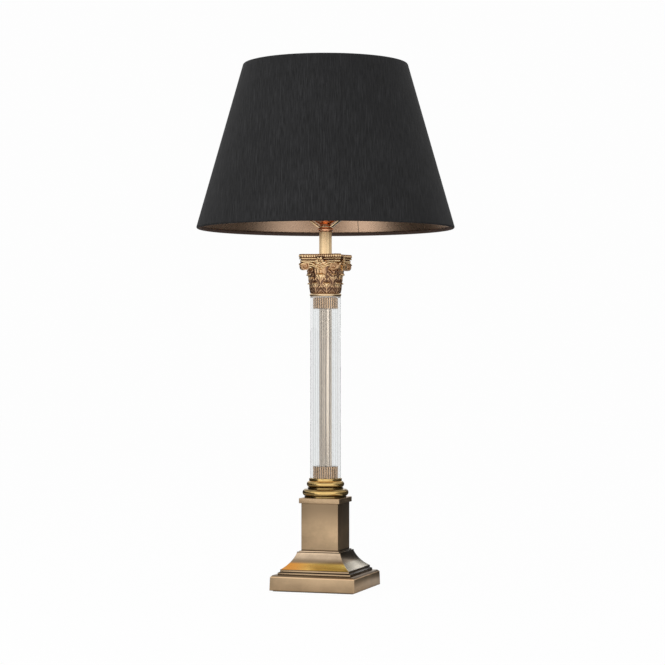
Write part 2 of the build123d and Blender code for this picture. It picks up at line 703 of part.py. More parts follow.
# ---- saddle and harp ----
def saddle():
    level = SADDLE_Z + SADDLE_T / 2
    arm_line = [
        (0, level),
        (SADDLE_BEND_X, level),
        (SADDLE_POST_X, level + SADDLE_RISE),
        (SADDLE_POST_X, POST_Z),
    ]
    arm = extrude(strip(arm_line, SADDLE_T), amount=SADDLE_W / 2, both=True)
    arm += Pos(SADDLE_POST_X, 0, 0) * bar(POST_SEAT_R, POST_Z - SADDLE_T, POST_Z)
    arm += Pos(SADDLE_POST_X, 0, 0) * bar(WIRE_R, POST_Z - SADDLE_T, LEG_Z)
    whole = bar(SADDLE_HUB_R, SADDLE_Z, HOLDER_Z) + arm + Rot(Z=180) * arm
    return solid_of(whole - bar(ROD_HOLE_R, SADDLE_Z - 1, HOLDER_Z + 1))


def harp():
    hub_top = WASHER_Z - TURNING
    wire_z = hub_top - HARP_HUB_DROP / 2
    right = [
        (SADDLE_POST_X, LEG_Z),
        (SADDLE_POST_X, LEG_Z + HARP_STRAIGHT),
        (HARP_HALF_W, LEG_Z + HARP_SHOULDER_Z),
        (HARP_HALF_W, LEG_Z + HARP_WAIST_Z),
        (HARP_TOP_X, wire_z),
    ]
    left = [(-x, z) for x, z in reversed(right)]
    bends = [HARP_LEG_BEND_R, HARP_LEG_BEND_R, HARP_TOP_BEND_R, HARP_CROWN_BEND_R]
    path = FilletPolyline(*[(x, 0, z) for x, z in right + left], radius=bends + bends[::-1])
    wire = sweep(Plane(origin=path @ 0, z_dir=path % 0) * Circle(WIRE_R), path=path)
    hub = bar(HARP_HUB_R, hub_top - HARP_HUB_DROP, hub_top)
    stud = bar(STUD_R, hub_top, FINIAL_Z + STUD_L)
    return solid_of(wire + hub + stud)


def harp_sleeve(side):
    sleeve = tube(SLEEVE_R, WIRE_R + SLIP, POST_Z, POST_Z + SLEEVE_L)
    return Pos(side * SADDLE_POST_X, 0, 0) * sleeve


# ---- lampholder ----
def holder_cap():
    flare_z = HOLDER_Z + HOLDER_CAP_FLARE_H
    neck_z = HOLDER_Z + HOLDER_NECK_H
    floor_z = HOLDER_Z + HOLDER_FLOOR_T
    top = HOLDER_Z + HOLDER_CAP_H
    inner = HOLDER_CAP_R - HOLDER_CAP_WALL
    return turned(polygon([
        (ROD_HOLE_R, HOLDER_Z), (HOLDER_NECK_R, HOLDER_Z), (HOLDER_NECK_R, neck_z),
        (inner, flare_z), (HOLDER_CAP_R, flare_z + HOLDER_NECK_H), (HOLDER_CAP_R, top), (inner, top),
        (inner, flare_z + HOLDER_NECK_H), (inner - HOLDER_CAP_WALL, flare_z + HOLDER_CAP_WALL),
        (HOLDER_NECK_R, floor_z), (ROD_HOLE_R, floor_z),
    ]))


def holder_locknut():
    floor_z = HOLDER_Z + HOLDER_FLOOR_T
    return hexagon(LOCKNUT_AF, ROD_HOLE_R, floor_z, floor_z + LOCKNUT_H)


def switch_axis_z():
    return BODY_TOP - SWITCH_DROP


def side_hole(radius, near, far):
    """A round hole along -Y at the switch shaft's height, between two distances from the lamp's axis."""
    return Pos(0, -near, switch_axis_z()) * Rot(X=90) * bar(radius, 0, far - near)


def holder_shell():
    foot = HOLDER_Z + HOLDER_CAP_FLARE_H + HOLDER_NECK_H + SEAT_GAP
    shell = tube(HOLDER_SHELL_R, HOLDER_SHELL_R - HOLDER_SHELL_WALL, foot, foot + HOLDER_SHELL_L)
    return solid_of(shell - side_hole(SHELL_HOLE_R, 0, 2 * HOLDER_SHELL_R))


def liner_r():
    return HOLDER_SHELL_R - HOLDER_SHELL_WALL - SEAT_GAP


def holder_liner():
    foot = HOLDER_Z + HOLDER_CAP_FLARE_H + HOLDER_NECK_H + SEAT_GAP
    liner = tube(liner_r(), liner_r() - LINER_T, foot, foot + HOLDER_SHELL_L)
    return solid_of(liner - side_hole(SHELL_HOLE_R, 0, 2 * HOLDER_SHELL_R))


def body_r():
    return liner_r() - LINER_T - SEAT_GAP


def terminal_z():
    return BODY_TOP - TERMINAL_DROP


def holder_body():
    body = bar(body_r(), BODY_TOP - BODY_L, BODY_TOP)
    body -= side_hole(SHAFT_R + RUNNING, body_r() - SHAFT_DEPTH, 2 * body_r())
    for turn in (0, 180):
        pocket = bar(TERMINAL_POCKET_R, 0, TERMINAL_POCKET_D + 1)
        pocket = Pos(body_r() - TERMINAL_POCKET_D, 0, terminal_z()) * Rot(Y=90) * pocket
        thread = bar(TERMINAL_SHANK_R + SLIP, 0, TERMINAL_L + 1)
        thread = Pos(body_r() - TERMINAL_L - 1, 0, terminal_z()) * Rot(Y=90) * thread
        body -= Rot(Z=turn) * pocket
        body -= Rot(Z=turn) * thread
    return solid_of(body)


def terminal_screws():
    screws = []
    for turn in (0, 180):
        floor_r = body_r() - TERMINAL_POCKET_D
        head = Pos(floor_r, 0, terminal_z()) * Rot(Y=90) * bar(TERMINAL_R, 0, TERMINAL_HEAD_T)
        shank = Pos(body_r() - TERMINAL_L, 0, terminal_z()) * Rot(Y=90)
        shank = shank * bar(TERMINAL_SHANK_R, 0, TERMINAL_L - TERMINAL_POCKET_D)
        screws.append(solid_of(Rot(Z=turn) * (head + shank)))
    return Compound(children=screws)


def screw_shell():
    return tube(SCREW_SHELL_R, SCREW_SHELL_R - SCREW_SHELL_WALL, BODY_TOP, BODY_TOP + SCREW_SHELL_L)


def centre_contact():
    return bar(CONTACT_R, BODY_TOP, CONTACT_TOP).solid()


# ---- switch ----
def switch_shaft():
    near = body_r() - SHAFT_DEPTH + RUNNING
    return side_hole(SHAFT_R, near, SHAFT_REACH).solid()


def switch_knob():
    knob = reeded(KNOB_R, SHAFT_R + RUNNING, 0, KNOB_L, KNOB_RIB_COUNT, KNOB_RIB_DEPTH)
    knob += bar(KNOB_R - KNOB_RIB_DEPTH, KNOB_L - KNOB_END, KNOB_L)
    start = SHAFT_REACH - KNOB_L + KNOB_END + RUNNING
    return solid_of(Pos(0, -start, switch_axis_z()) * Rot(X=90) * knob)


# ---- bulb ----
def bulb_contact():
    return bar(BULB_CONTACT_R, CONTACT_TOP, CONTACT_TOP + BULB_CONTACT_T).solid()


def bulb_insulator():
    low = CONTACT_TOP + BULB_CONTACT_T
    high = low + BULB_INSULATOR_T
    return turned(polygon([(0, low), (BULB_CONTACT_R, low), (BULB_CAP_R - BULB_CAP_WALL, high), (0, high)]))


def bulb_cap():
    low = CONTACT_TOP + BULB_CONTACT_T + BULB_INSULATOR_T
    inner = BULB_CAP_R - BULB_CAP_WALL
    return tube(BULB_CAP_R, inner, low, low + BULB_CAP_L - BULB_CONTACT_T - BULB_INSULATOR_T)


def bulb_glass():
    """The blown envelope: a neck inside the cap, an even flare and a round head, as a thin wall."""
    top = CONTACT_TOP + BULB_L
    head_z = top - BULB_R
    neck_r = BULB_CAP_R - BULB_CAP_WALL - SEAT_GAP
    neck_z = CONTACT_TOP + BULB_CAP_L
    foot_z = CONTACT_TOP + BULB_CONTACT_T + BULB_INSULATOR_T + SEAT_GAP
    faces = []
    for wall in (0, BULB_WALL):
        faces.append(outline(
            Line((0, foot_z + wall), (neck_r - wall, foot_z + wall)),
            Line((neck_r - wall, foot_z + wall), (neck_r - wall, neck_z)),
            Spline(
                (neck_r - wall, neck_z), (BULB_R - wall, head_z),
                tangents=[(0, 1), (0, 1)], tangent_scalars=[BULB_NECK_PULL, 1],
            ),
            ThreePointArc(
                (BULB_R - wall, head_z),
                ((BULB_R - wall) / sqrt(2), head_z + (BULB_R - wall) / sqrt(2)),
                (0, top - wall),
            ),
            Line((0, top - wall), (0, foot_z + wall)),
        ))
    return solid_of(turned(faces[0]) - turned(faces[1]))


def bulb_stem():
    foot = CONTACT_TOP + BULB_CONTACT_T + BULB_INSULATOR_T + SEAT_GAP + BULB_WALL
    return bar(BULB_STEM_R, foot, foot + BULB_STEM_L).solid()


def bulb_filament():
    """The filament and its two leads, bent from one wire."""
    foot = CONTACT_TOP + BULB_CONTACT_T + BULB_INSULATOR_T + SEAT_GAP + BULB_WALL + BULB_STEM_L
    half = FILAMENT_SPAN / 2
    line = [(-BULB_STEM_R / 2, 0, foot), (-half, 0, foot + FILAMENT_LEAD),
            (half, 0, foot + FILAMENT_LEAD), (BULB_STEM_R / 2, 0, foot)]
    path = FilletPolyline(*line, radius=FILAMENT_BEND_R)
    wire = sweep(Plane(origin=path @ 0, z_dir=path % 0) * Circle(FILAMENT_R), path=path)
    return solid_of(wire & square(3 * FILAMENT_SPAN, foot, foot + 2 * FILAMENT_LEAD))


# ---- shade ----
def shade_point(along, inward):
    """A place in the shade's wall, by its distance up the slope and its depth in from the outer face."""
    lean = SHADE_BOTTOM_R - SHADE_TOP_R
    slope = sqrt(lean * lean + SHADE_H * SHADE_H)
    up, back = SHADE_H / slope, lean / slope
    return (SHADE_BOTTOM_R - back * along - up * inward, SHADE_BOTTOM_Z + up * along - back * inward)


def shade_length():
    lean = SHADE_BOTTOM_R - SHADE_TOP_R
    return sqrt(lean * lean + SHADE_H * SHADE_H)


def rim_depth():
    """How thick the rim is, where the cover turns in round its ring."""
    return 2 * COVER_T + 2 * RING_R + 2 * SEAT_GAP


def shade_spoke(radius):
    ring_r, ring_z = shade_point(shade_length() - rim_depth() / 2, rim_depth() / 2)
    start = Vector(SPOKE_START_R, 0, WASHER_Z + SPIDER_WASHER_T / 2)
    end = Vector(ring_r, 0, ring_z)
    along = end - start
    return Plane(origin=start, z_dir=along) * bar(radius, 0, along.length)


def spoke_turns():
    return [90 + 360 * k / SPOKE_COUNT for k in range(SPOKE_COUNT)]


def shade_cover():
    length, rim, inner = shade_length(), rim_depth(), rim_depth() - COVER_T
    places = [
        (0, 0), (length, 0), (length, rim), (length - HEM, rim), (length - HEM, inner),
        (length - COVER_T, inner), (length - COVER_T, COVER_T), (COVER_T, COVER_T), (COVER_T, inner),
        (HEM, inner), (HEM, rim), (0, rim),
    ]
    cover = turned(polygon([shade_point(along, inward) for along, inward in places]))
    far_r, far_z = shade_point(length - rim, rim - COVER_T)
    for turn in spoke_turns():
        slot_w = 2 * (SPOKE_R + SPOKE_SLOT)
        slot = Box(2 * COVER_T + HEM, slot_w, 2 * HEM, align=(Align.MAX, Align.CENTER, Align.CENTER))
        cover -= Rot(Z=turn) * Pos(far_r, 0, shade_spoke_z() - HEM + SPOKE_R + SPOKE_SLOT) * slot
    return solid_of(cover)


def shade_spoke_z():
    """The height of a spoke's axis where it passes through the turned-in hem."""
    return shade_point(shade_length() - rim_depth() / 2, rim_depth() / 2)[1]


def shade_lining():
    margin = COVER_T + 2 * RING_R + 2 * SEAT_GAP
    near, far = COVER_T + SEAT_GAP, COVER_T + SEAT_GAP + LINING_T
    low, high = margin, shade_length() - margin
    places = [(low, near), (high, near), (high, far), (low, far)]
    return turned(polygon([shade_point(along, inward) for along, inward in places]))


def ring_at(along):
    r, z = shade_point(along, rim_depth() / 2)
    return Pos(0, 0, z) * Torus(r, RING_R)


def shade_bottom_ring():
    return ring_at(rim_depth() / 2).solid()


def shade_spider():
    spider = bar(SPIDER_WASHER_R, WASHER_Z, WASHER_Z + SPIDER_WASHER_T)
    spider += ring_at(shade_length() - rim_depth() / 2)
    for turn in spoke_turns():
        spider += Rot(Z=turn) * shade_spoke(SPOKE_R)
    return solid_of(spider - bar(STUD_R + SEAT_GAP, WASHER_Z - 1, FINIAL_Z + 1))


# ---- finial ----
def finial():
    base_top = FINIAL_Z + FINIAL_BASE_H
    neck_top = base_top + FINIAL_NECK_H
    lift = sqrt(FINIAL_BALL_R ** 2 - FINIAL_NECK_R ** 2)
    ball_z = neck_top + lift
    tip_z = ball_z + FINIAL_BALL_R + FINIAL_TIP_H
    tip_r = FINIAL_NECK_R / 2
    ball_top = ball_z + sqrt(FINIAL_BALL_R ** 2 - tip_r ** 2)
    body = turned(outline(
        Line((0, FINIAL_Z), (FINIAL_BASE_R, FINIAL_Z)),
        Line((FINIAL_BASE_R, FINIAL_Z), (FINIAL_BASE_R, base_top)),
        Line((FINIAL_BASE_R, base_top), (FINIAL_NECK_R, base_top)),
        Line((FINIAL_NECK_R, base_top), (FINIAL_NECK_R, neck_top)),
        ThreePointArc((FINIAL_NECK_R, neck_top), (FINIAL_BALL_R, ball_z), (tip_r, ball_top)),
        Line((tip_r, ball_top), (0, tip_z)),
        Line((0, tip_z), (0, FINIAL_Z)),
    ))
    return solid_of(body - bar(STUD_R + SLIP, FINIAL_Z - 1, FINIAL_Z + STUD_L + TURNING))


# ---- tie rod ----
def tie_rod():
    return tube(ROD_R, ROD_BORE_R, WEIGHT_Z + SLAB_WALL / 2, HOLDER_Z + HOLDER_FLOOR_T + LOCKNUT_H)


def clamp_z():
    """The underside of the weight's web, which the washer and nut pull against."""
    return WEIGHT_Z + NUT_H + WASHER_T + SLAB_WALL


def tie_washer():
    return tube(WASHER_R, ROD_HOLE_R, clamp_z() - WASHER_T, clamp_z())


def tie_nut():
    return hexagon(NUT_AF, ROD_HOLE_R, clamp_z() - WASHER_T - NUT_H, clamp_z() - WASHER_T)


PARTS = {
    "base_felt": base_felt,
    "base_plate": base_plate,
    "plate_screws": plate_screws,
    "base_weight": base_weight,
    "plinth_slab": plinth_slab,
    "flex_bush": flex_bush,
    "plinth_cove": plinth_cove,
    "pedestal_die": pedestal_die,
    "pedestal_cap": pedestal_cap,
    "lower_torus": lower_torus,
    "upper_torus": upper_torus,
    "glass_seat": glass_seat,
    "lower_gasket": lambda: tube(GLASS_R, GLASS_BORE_R, GLASS_Z - GASKET_T, GLASS_Z),
    "lower_collar": lambda: reeded(
        COLLAR_FIT_R, TUBE_HOLE_R, SEAT_TOP, SEAT_TOP + LOW_COLLAR_H, REED_COUNT, REED_DEPTH
    ),
    "glass_tube": lambda: tube(GLASS_R, GLASS_BORE_R, GLASS_Z, GLASS_TOP),
    "core_tube": lambda: tube(
        TUBE_R, TUBE_R - TUBE_WALL, SEAT_TOP - TUBE_RECESS, ASTRAGAL_Z + TUBE_RECESS
    ),
    "upper_collar": lambda: reeded(
        COLLAR_FIT_R, TUBE_HOLE_R, ASTRAGAL_Z - TOP_COLLAR_H, ASTRAGAL_Z, REED_COUNT, REED_DEPTH
    ),
    "upper_gasket": lambda: tube(GLASS_R, GLASS_BORE_R, GLASS_TOP, ASTRAGAL_Z),
    "astragal_ring": astragal_ring,
    "capital": capital,
    "stem_tube": lambda: tube(TUBE_R, TUBE_R - TUBE_WALL, CAPITAL_TOP, COLLAR_Z),
    "stem_collar": stem_collar,
    "tie_rod": tie_rod,
    "tie_washer": tie_washer,
    "tie_nut": tie_nut,
    "harp_saddle": saddle,
    "harp_sleeve_left": lambda: harp_sleeve(-1),
    "harp_sleeve_right": lambda: harp_sleeve(1),
    "harp": harp,
    "holder_cap": holder_cap,
    "holder_locknut": holder_locknut,
    "holder_shell": holder_shell,
    "holder_liner": holder_liner,
    "holder_body": holder_body,
    "terminal_screws": terminal_screws,
    "screw_shell": screw_shell,
    "centre_contact": centre_contact,
    "switch_shaft": switch_shaft,
    "switch_knob": switch_knob,
    "bulb_contact": bulb_contact,
    "bulb_insulator": bulb_insulator,
    "bulb_cap": bulb_cap,
    "bulb_glass": bulb_glass,
    "bulb_stem": bulb_stem,
    "bulb_filament": bulb_filament,
    "shade_cover": shade_cover,
    "shade_lining": shade_lining,
    "shade_bottom_ring": shade_bottom_ring,
    "shade_spider": shade_spider,
    "finial": finial,
}


def build():
    os.makedirs("parts", exist_ok=True)
    for name, make in PARTS.items():
        export_step(make(), f"parts/{name}.step")


build()
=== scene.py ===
"""Column table lamp: the modelled pieces, their finishes and the studio round them, laid out as an add-on."""
import math

import bpy
import numpy as np
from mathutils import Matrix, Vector


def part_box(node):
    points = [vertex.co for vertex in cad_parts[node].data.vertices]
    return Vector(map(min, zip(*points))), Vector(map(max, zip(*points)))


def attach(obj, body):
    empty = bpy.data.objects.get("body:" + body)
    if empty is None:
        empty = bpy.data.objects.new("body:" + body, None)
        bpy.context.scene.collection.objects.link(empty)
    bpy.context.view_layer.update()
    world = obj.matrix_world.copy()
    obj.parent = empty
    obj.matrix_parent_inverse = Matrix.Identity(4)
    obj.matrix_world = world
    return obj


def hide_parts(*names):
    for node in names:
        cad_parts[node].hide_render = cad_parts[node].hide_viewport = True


bl_info = {
    "name": "Column Table Lamp",
    "version": (1, 0, 0),
    "blender": (4, 5, 0),
    "location": "3D View > Sidebar > Lamp",
    "description": "Builds the finished pieces of a column table lamp round its packed frame",
    "category": "Object",
}

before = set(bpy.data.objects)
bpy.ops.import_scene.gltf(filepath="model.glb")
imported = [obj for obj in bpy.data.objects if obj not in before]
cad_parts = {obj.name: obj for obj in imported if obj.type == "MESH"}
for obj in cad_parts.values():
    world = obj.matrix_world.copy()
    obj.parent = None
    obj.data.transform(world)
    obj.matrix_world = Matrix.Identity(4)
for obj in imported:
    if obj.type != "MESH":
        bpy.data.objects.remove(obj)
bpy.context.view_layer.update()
MM = 0.001
WELD = 6e-6                 # vertices nearer than this are one
ROUND = 160                 # sides of a turned piece
SHADE_SIDES = 288           # sides of the shade's cones
SLICE = 8                   # steps round half of the shade's rim
ROD_HOLE = 5.25 * MM        # radius of the hole that the tie rod runs through
TUBE_HOLE = 10.15 * MM      # radius of a hole that takes the end of a tube


# ---- settings ----
def colour(name, description, value):
    """A colour setting."""
    return bpy.props.FloatVectorProperty(
        name=name, description=description, default=value, subtype="COLOR", size=3, min=0, max=1
    )


def length(name, description, value):
    """A length setting, in metres."""
    return bpy.props.FloatProperty(name=name, description=description, default=value, unit="LENGTH", min=0)


class LampShadeSettings(bpy.types.PropertyGroup):
    """Sizes and colours of the shade."""
    top_radius: length("Top radius", "Outer radius of the shade's top rim", 129 * MM)
    cloth: length("Cloth", "Thickness of the silk and its stiff backing", 0.9 * MM)
    rim: length("Rim", "Thickness of the rim where the cloth turns in round its ring", 5.0 * MM)
    hem: length("Hem", "Height of the turned-in hem inside each rim", 5.5 * MM)
    seam_lap: length("Seam lap", "Width of the overlap at the back seam", 11 * MM)
    silk: colour("Silk", "Dyed dupion silk", (0.018, 0.018, 0.019))
    lining: colour("Lining", "Metallic lining", (0.62, 0.42, 0.29))


class LampMetalSettings(bpy.types.PropertyGroup):
    """Colours of the metal finishes."""
    satin: colour("Satin brass", "Brushed and aged brass of the foot", (0.57, 0.40, 0.24))
    bright: colour("Bright brass", "Golden brass of the turned rings", (0.86, 0.58, 0.22))
    polished: colour("Polished brass", "Brass of the stem, the tube and the harp", (0.88, 0.65, 0.38))
    cast: colour("Cast brass", "Raised parts of the capital", (1.0, 0.74, 0.42))
    # this colour serves as patina and as painted shade in the capital's hollows
    patina: colour("Patina", "Dark hollows of the capital", (0.19, 0.10, 0.066))
    copper: colour("Copper brass", "Collar and lampholder cap", (1.0, 0.52, 0.30))
    edge: length("Edge", "Radius of the worn edges of the foot", 0.45 * MM)


class LampCapitalSettings(bpy.types.PropertyGroup):
    """Sizes of the capital's ornament."""
    bell_radius: length("Bell", "Radius of the bell behind the leaves", 22.3 * MM)
    lip_radius: length("Lip", "Radius of the bell's top", 30 * MM)
    throat_radius: length("Throat", "Radius of the bell below its flare", 27.4 * MM)
    throat_height: length("Throat height", "Height of the bell below its flare", 34 * MM)
    bell_height: length("Bell height", "Height of the bell", 47.5 * MM)
    low_leaf: length("Lower leaves", "Height of the lower row of leaves", 14.5 * MM)
    top_leaf: length("Upper leaves", "Height of the upper row of leaves", 28.5 * MM)
    scroll_radius: length("Scroll", "Radius of a corner scroll", 6.2 * MM)
    scroll_place: length("Scroll place", "Distance of a corner scroll from the axis", 38.6 * MM)


class LampStudioSettings(bpy.types.PropertyGroup):
    """The camera and the lights."""
    distance: length("Distance", "From the lamp's axis to the camera", 3.2)
    azimuth: bpy.props.FloatProperty(
        name="Azimuth", description="Camera's turn round the lamp", default=math.radians(18), subtype="ANGLE"
    )
    eye_height: length("Eye height", "Height of the level camera", 0.371)
    lens: bpy.props.FloatProperty(
        name="Lens", description="Focal length in millimetres", default=110.3, unit="CAMERA"
    )


# ---- modelling by hand ----
def put_down():
    """Leaves edit mode and selects nothing."""
    if bpy.context.object and bpy.context.object.mode != "OBJECT":
        bpy.ops.object.mode_set(mode="OBJECT")
    bpy.ops.object.select_all(action="DESELECT")


def take(*pieces):
    """Selects these pieces, the first as the active one."""
    put_down()
    for piece in pieces:
        piece.select_set(True)
    bpy.context.view_layer.objects.active = pieces[0]
    return pieces[0]


def named(name):
    """The primitive that was just added, under its own name, with its place in its mesh."""
    piece = bpy.context.object
    piece.name = name
    piece.data.name = name
    bpy.ops.object.transform_apply(location=True, rotation=True, scale=True)
    return piece


def close_up(piece, smooth=35):
    """Merges a piece's doubles, turns its faces out and smooths it up to that angle in degrees."""
    take(piece)
    bpy.ops.object.mode_set(mode="EDIT")
    bpy.ops.mesh.select_all(action="SELECT")
    bpy.ops.mesh.remove_doubles(threshold=WELD)
    bpy.ops.mesh.normals_make_consistent(inside=False)
    bpy.ops.object.mode_set(mode="OBJECT")
    bpy.ops.object.shade_smooth_by_angle(angle=math.radians(smooth))
    return piece


def joined(name, *pieces):
    """Several pieces as one."""
    whole = take(*pieces)
    if len(pieces) > 1:
        bpy.ops.object.join()
    whole.name = name
    whole.data.name = name
    return whole


def modified(piece, kind, **settings):
    """The piece with one modifier added and applied."""
    take(piece)
    modifier = piece.modifiers.new(kind.title(), kind)
    for key, value in settings.items():
        setattr(modifier, key, value)
    bpy.ops.object.modifier_apply(modifier=modifier.name)
    return piece


def eased(piece, width):
    """The piece with its sharp edges rounded."""
    return modified(
        piece, "BEVEL", width=width, segments=3, limit_method="ANGLE", angle_limit=math.radians(30),
        harden_normals=False,
    )


def turned(name, rings, sides=ROUND):
    """A ring of edges drawn up through (radius, height) places and back to the first of them."""
    put_down()
    radius, level = rings[0]
    bpy.ops.mesh.primitive_circle_add(vertices=sides, radius=radius, location=(0, 0, level))
    piece = named(name)
    bpy.ops.object.mode_set(mode="EDIT")
    bpy.ops.mesh.select_all(action="SELECT")
    for r, z in rings[1:] + rings[:1]:
        bpy.ops.mesh.extrude_region_move(TRANSFORM_OT_translate={"value": (0, 0, z - level)})
        bpy.ops.transform.resize(value=(r / radius, r / radius, 1), center_override=(0, 0, z))
        radius, level = r, z
    return close_up(piece)


def half_circle(out, low, high, points=16):
    """(radius, height) places round a half-round rim, from its foot to its top at the same radius."""
    half = (high - low) / 2
    turns = [math.pi * (k / points - 0.5) for k in range(points + 1)]
    return [(out + half * math.cos(t), low + half + half * math.sin(t)) for t in turns]


def top_of(node):
    """The height of a frame node's top."""
    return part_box(node)[1].z


def foot_of(node):
    """The height of a frame node's foot."""
    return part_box(node)[0].z


def reach_of(node):
    """How far a frame node reaches out from the axis."""
    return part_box(node)[1].x


def copied(node, name, edge=0.0):
    """A merged copy of a frame node, with its edges eased if asked."""
    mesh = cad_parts[node].data.copy()
    piece = bpy.data.objects.new(name, mesh)
    bpy.context.scene.collection.objects.link(piece)
    mesh.name = name
    mesh.materials.clear()
    take(piece)
    bpy.ops.mesh.customdata_custom_splitnormals_clear()
    bpy.ops.object.mode_set(mode="EDIT")
    bpy.ops.mesh.select_all(action="SELECT")
    bpy.ops.mesh.remove_doubles(threshold=WELD)
    bpy.ops.mesh.dissolve_limited(angle_limit=math.radians(0.5))
    bpy.ops.object.mode_set(mode="OBJECT")
    if edge:
        eased(piece, edge)
    bpy.ops.object.shade_smooth_by_angle(angle=math.radians(35))
    return piece


def settle(piece, body, slot, material, *nodes):
    """Gives a finished piece its material and its body, and hides the nodes that it stands for. The slot is
    not used.
    """
    piece.data.materials.clear()
    piece.data.materials.append(material)
    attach(piece, body)
    if nodes:
        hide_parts(*nodes)
    return piece


def paint(node, material):
    """Gives a frame node that stays in view its material."""
    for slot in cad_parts[node].material_slots:
        slot.material = material


# ---- surfaces ----
class Signal:
    """A number that varies over a surface. Sums, products and powers of signals add Math nodes."""

    def __init__(self, nodes, socket):
        self.nodes = nodes
        self.socket = socket

    def math(self, operation, *others):
        """One Math node."""
        return self.nodes.node("ShaderNodeMath", {"operation": operation}, dict(enumerate(others)))

    def __add__(self, other):
        return self.math("ADD", self, other)

    def __sub__(self, other):
        return self.math("SUBTRACT", self, other)

    def __rsub__(self, other):
        return self.math("SUBTRACT", other, self)

    def __mul__(self, other):
        return self.math("MULTIPLY", self, other)

    def __truediv__(self, other):
        return self.math("DIVIDE", self, other)

    def __pow__(self, other):
        return self.math("POWER", self, other)

    def __abs__(self):
        return self.math("ABSOLUTE", self)

    __radd__ = __add__
    __rmul__ = __mul__

    def between(self, low, high):
        """0 at low and 1 at high, eased at both ends."""
        return self.nodes.node(
            "ShaderNodeMapRange", {"interpolation_type": "SMOOTHSTEP"},
            {"Value": self, "From Min": low, "From Max": high},
        )

    def within(self, lowest, low, high, highest):
        """1 from low to high, eased to 0 at lowest and at highest."""
        return self.between(lowest, low) * self.between(highest, high)


class Nodes:
    """The node tree of a material or a world, under construction."""

    def __init__(self, owner):
        owner.use_nodes = True
        self.tree = owner.node_tree

    def feed(self, socket, value):
        """Links a signal to a socket, or sets it to a plain value."""
        if isinstance(value, Signal):
            self.tree.links.new(value.socket, socket)
        else:
            socket.default_value = value

    def node(self, kind, settings=None, inputs=None, output=0):
        """Adds a node with its settings and its socket values or links, and gives one output."""
        made = self.tree.nodes.new(kind)
        for key, value in (settings or {}).items():
            setattr(made, key, value)
        for key, value in (inputs or {}).items():
            self.feed(made.inputs[key], value)
        return Signal(self, made.outputs[output])

    def show(self, surface):
        """Puts a shader on the surface of a material."""
        self.tree.links.new(surface.socket, self.tree.nodes["Material Output"].inputs["Surface"])

    def seen_by(self, *rays):
        """1 for these kinds of ray and 0 for the others."""
        seen = self.node("ShaderNodeLightPath", output=rays[0])
        for ray in rays[1:]:
            seen = seen.math("MAXIMUM", seen, self.node("ShaderNodeLightPath", output=ray))
        return seen


class Finish(Nodes):
    """A material under construction: its node tree, its shader and where a point is on the lamp."""

    def __init__(self, name, **fixed):
        self.material = bpy.data.materials.new(name)
        super().__init__(self.material)
        self.shader = self.tree.nodes["Principled BSDF"]
        self.place = self.node("ShaderNodeTexCoord", output="Object")
        self.set(**fixed)

    def set(self, **fixed):
        """Sets the shader's sockets, named with spaces as underscores."""
        for key, value in fixed.items():
            socket = self.shader.inputs[key.replace("_", " ")]
            if socket.type == "RGBA" and not isinstance(value, Signal):
                value = (*value, 1)
            self.feed(socket, value)
        return self

    def tone(self):
        """The colour that the shader has so far."""
        return Signal(self, self.shader.inputs["Base Color"].links[0].from_socket)

    def at(self, scale, of=None):
        """Places on the lamp, or those given, stretched."""
        return self.node("ShaderNodeMapping", {}, {"Vector": of or self.place, "Scale": scale})

    def noise(self, scale, detail=3.0, rough=0.5, at=None):
        """Soft noise around 0.5."""
        return self.node(
            "ShaderNodeTexNoise", {},
            {"Vector": at or self.place, "Scale": scale, "Detail": detail, "Roughness": rough},
        )

    def part(self, axis, of=None):
        """One coordinate of a place."""
        return self.node("ShaderNodeSeparateXYZ", {}, {"Vector": of or self.place}, output=axis)

    def off_axis(self):
        """The distance from the lamp's axis."""
        across, deep = self.part("X"), self.part("Y")
        return (across * across + deep * deep) ** 0.5

    def mix(self, mask, a, b):
        """Two colours mixed by a mask."""
        a, b = (colour if isinstance(colour, Signal) else (*colour, 1) for colour in (a, b))
        return self.node("ShaderNodeMix", {"data_type": "RGBA"}, {0: mask, 6: a, 7: b}, output=2)

    def bump(self, height, depth, strength, under=None):
        """A normal that follows a height of 0 to 1 over that depth in metres."""
        inputs = {"Height": height, "Distance": depth, "Strength": strength}
        if under:
            inputs["Normal"] = under
        return self.node("ShaderNodeBump", {}, inputs)


def dark(rgb, share):
    """A colour at a share of its strength."""
    return tuple(c * share for c in rgb)


def satin_brass(name, base, rough=0.34, grain=(2.0, 2.0, 60.0)):
    """Brushed brass with a mottled, lightly aged face."""
    finish = Finish(name, Metallic=1.0)
    mottle = finish.noise(28, detail=4, rough=0.6)
    cloud = finish.noise(9, detail=2)
    brushed = finish.noise(40, detail=6, rough=0.7, at=finish.at(grain))
    tone = finish.mix(mottle.between(0.3, 0.72), dark(base, 0.8), dark(base, 1.14))
    tone = finish.mix(cloud.between(0.35, 0.7) * 0.5, tone, dark(base, 0.86))
    tone = finish.mix(brushed.between(0.35, 0.75) * 0.35, tone, dark(base, 1.2))
    return finish.set(
        Base_Color=tone, Roughness=mottle * 0.1 + brushed * 0.08 + (rough - 0.09),
        Normal=finish.bump(brushed, 0.02 * MM, 0.6),
    )


def bright_brass(name, base, rough=0.16):
    """Golden lacquered brass, a little cloudy."""
    finish = Finish(name, Metallic=1.0)
    cloud = finish.noise(35, detail=3)
    fine = finish.noise(700, detail=2)
    tone = finish.mix(cloud.between(0.3, 0.75), dark(base, 0.86), base)
    return finish.set(
        Base_Color=tone, Roughness=cloud * 0.08 + fine * 0.04 + (rough - 0.04),
        Normal=finish.bump(fine, 0.004 * MM, 0.5),
    )


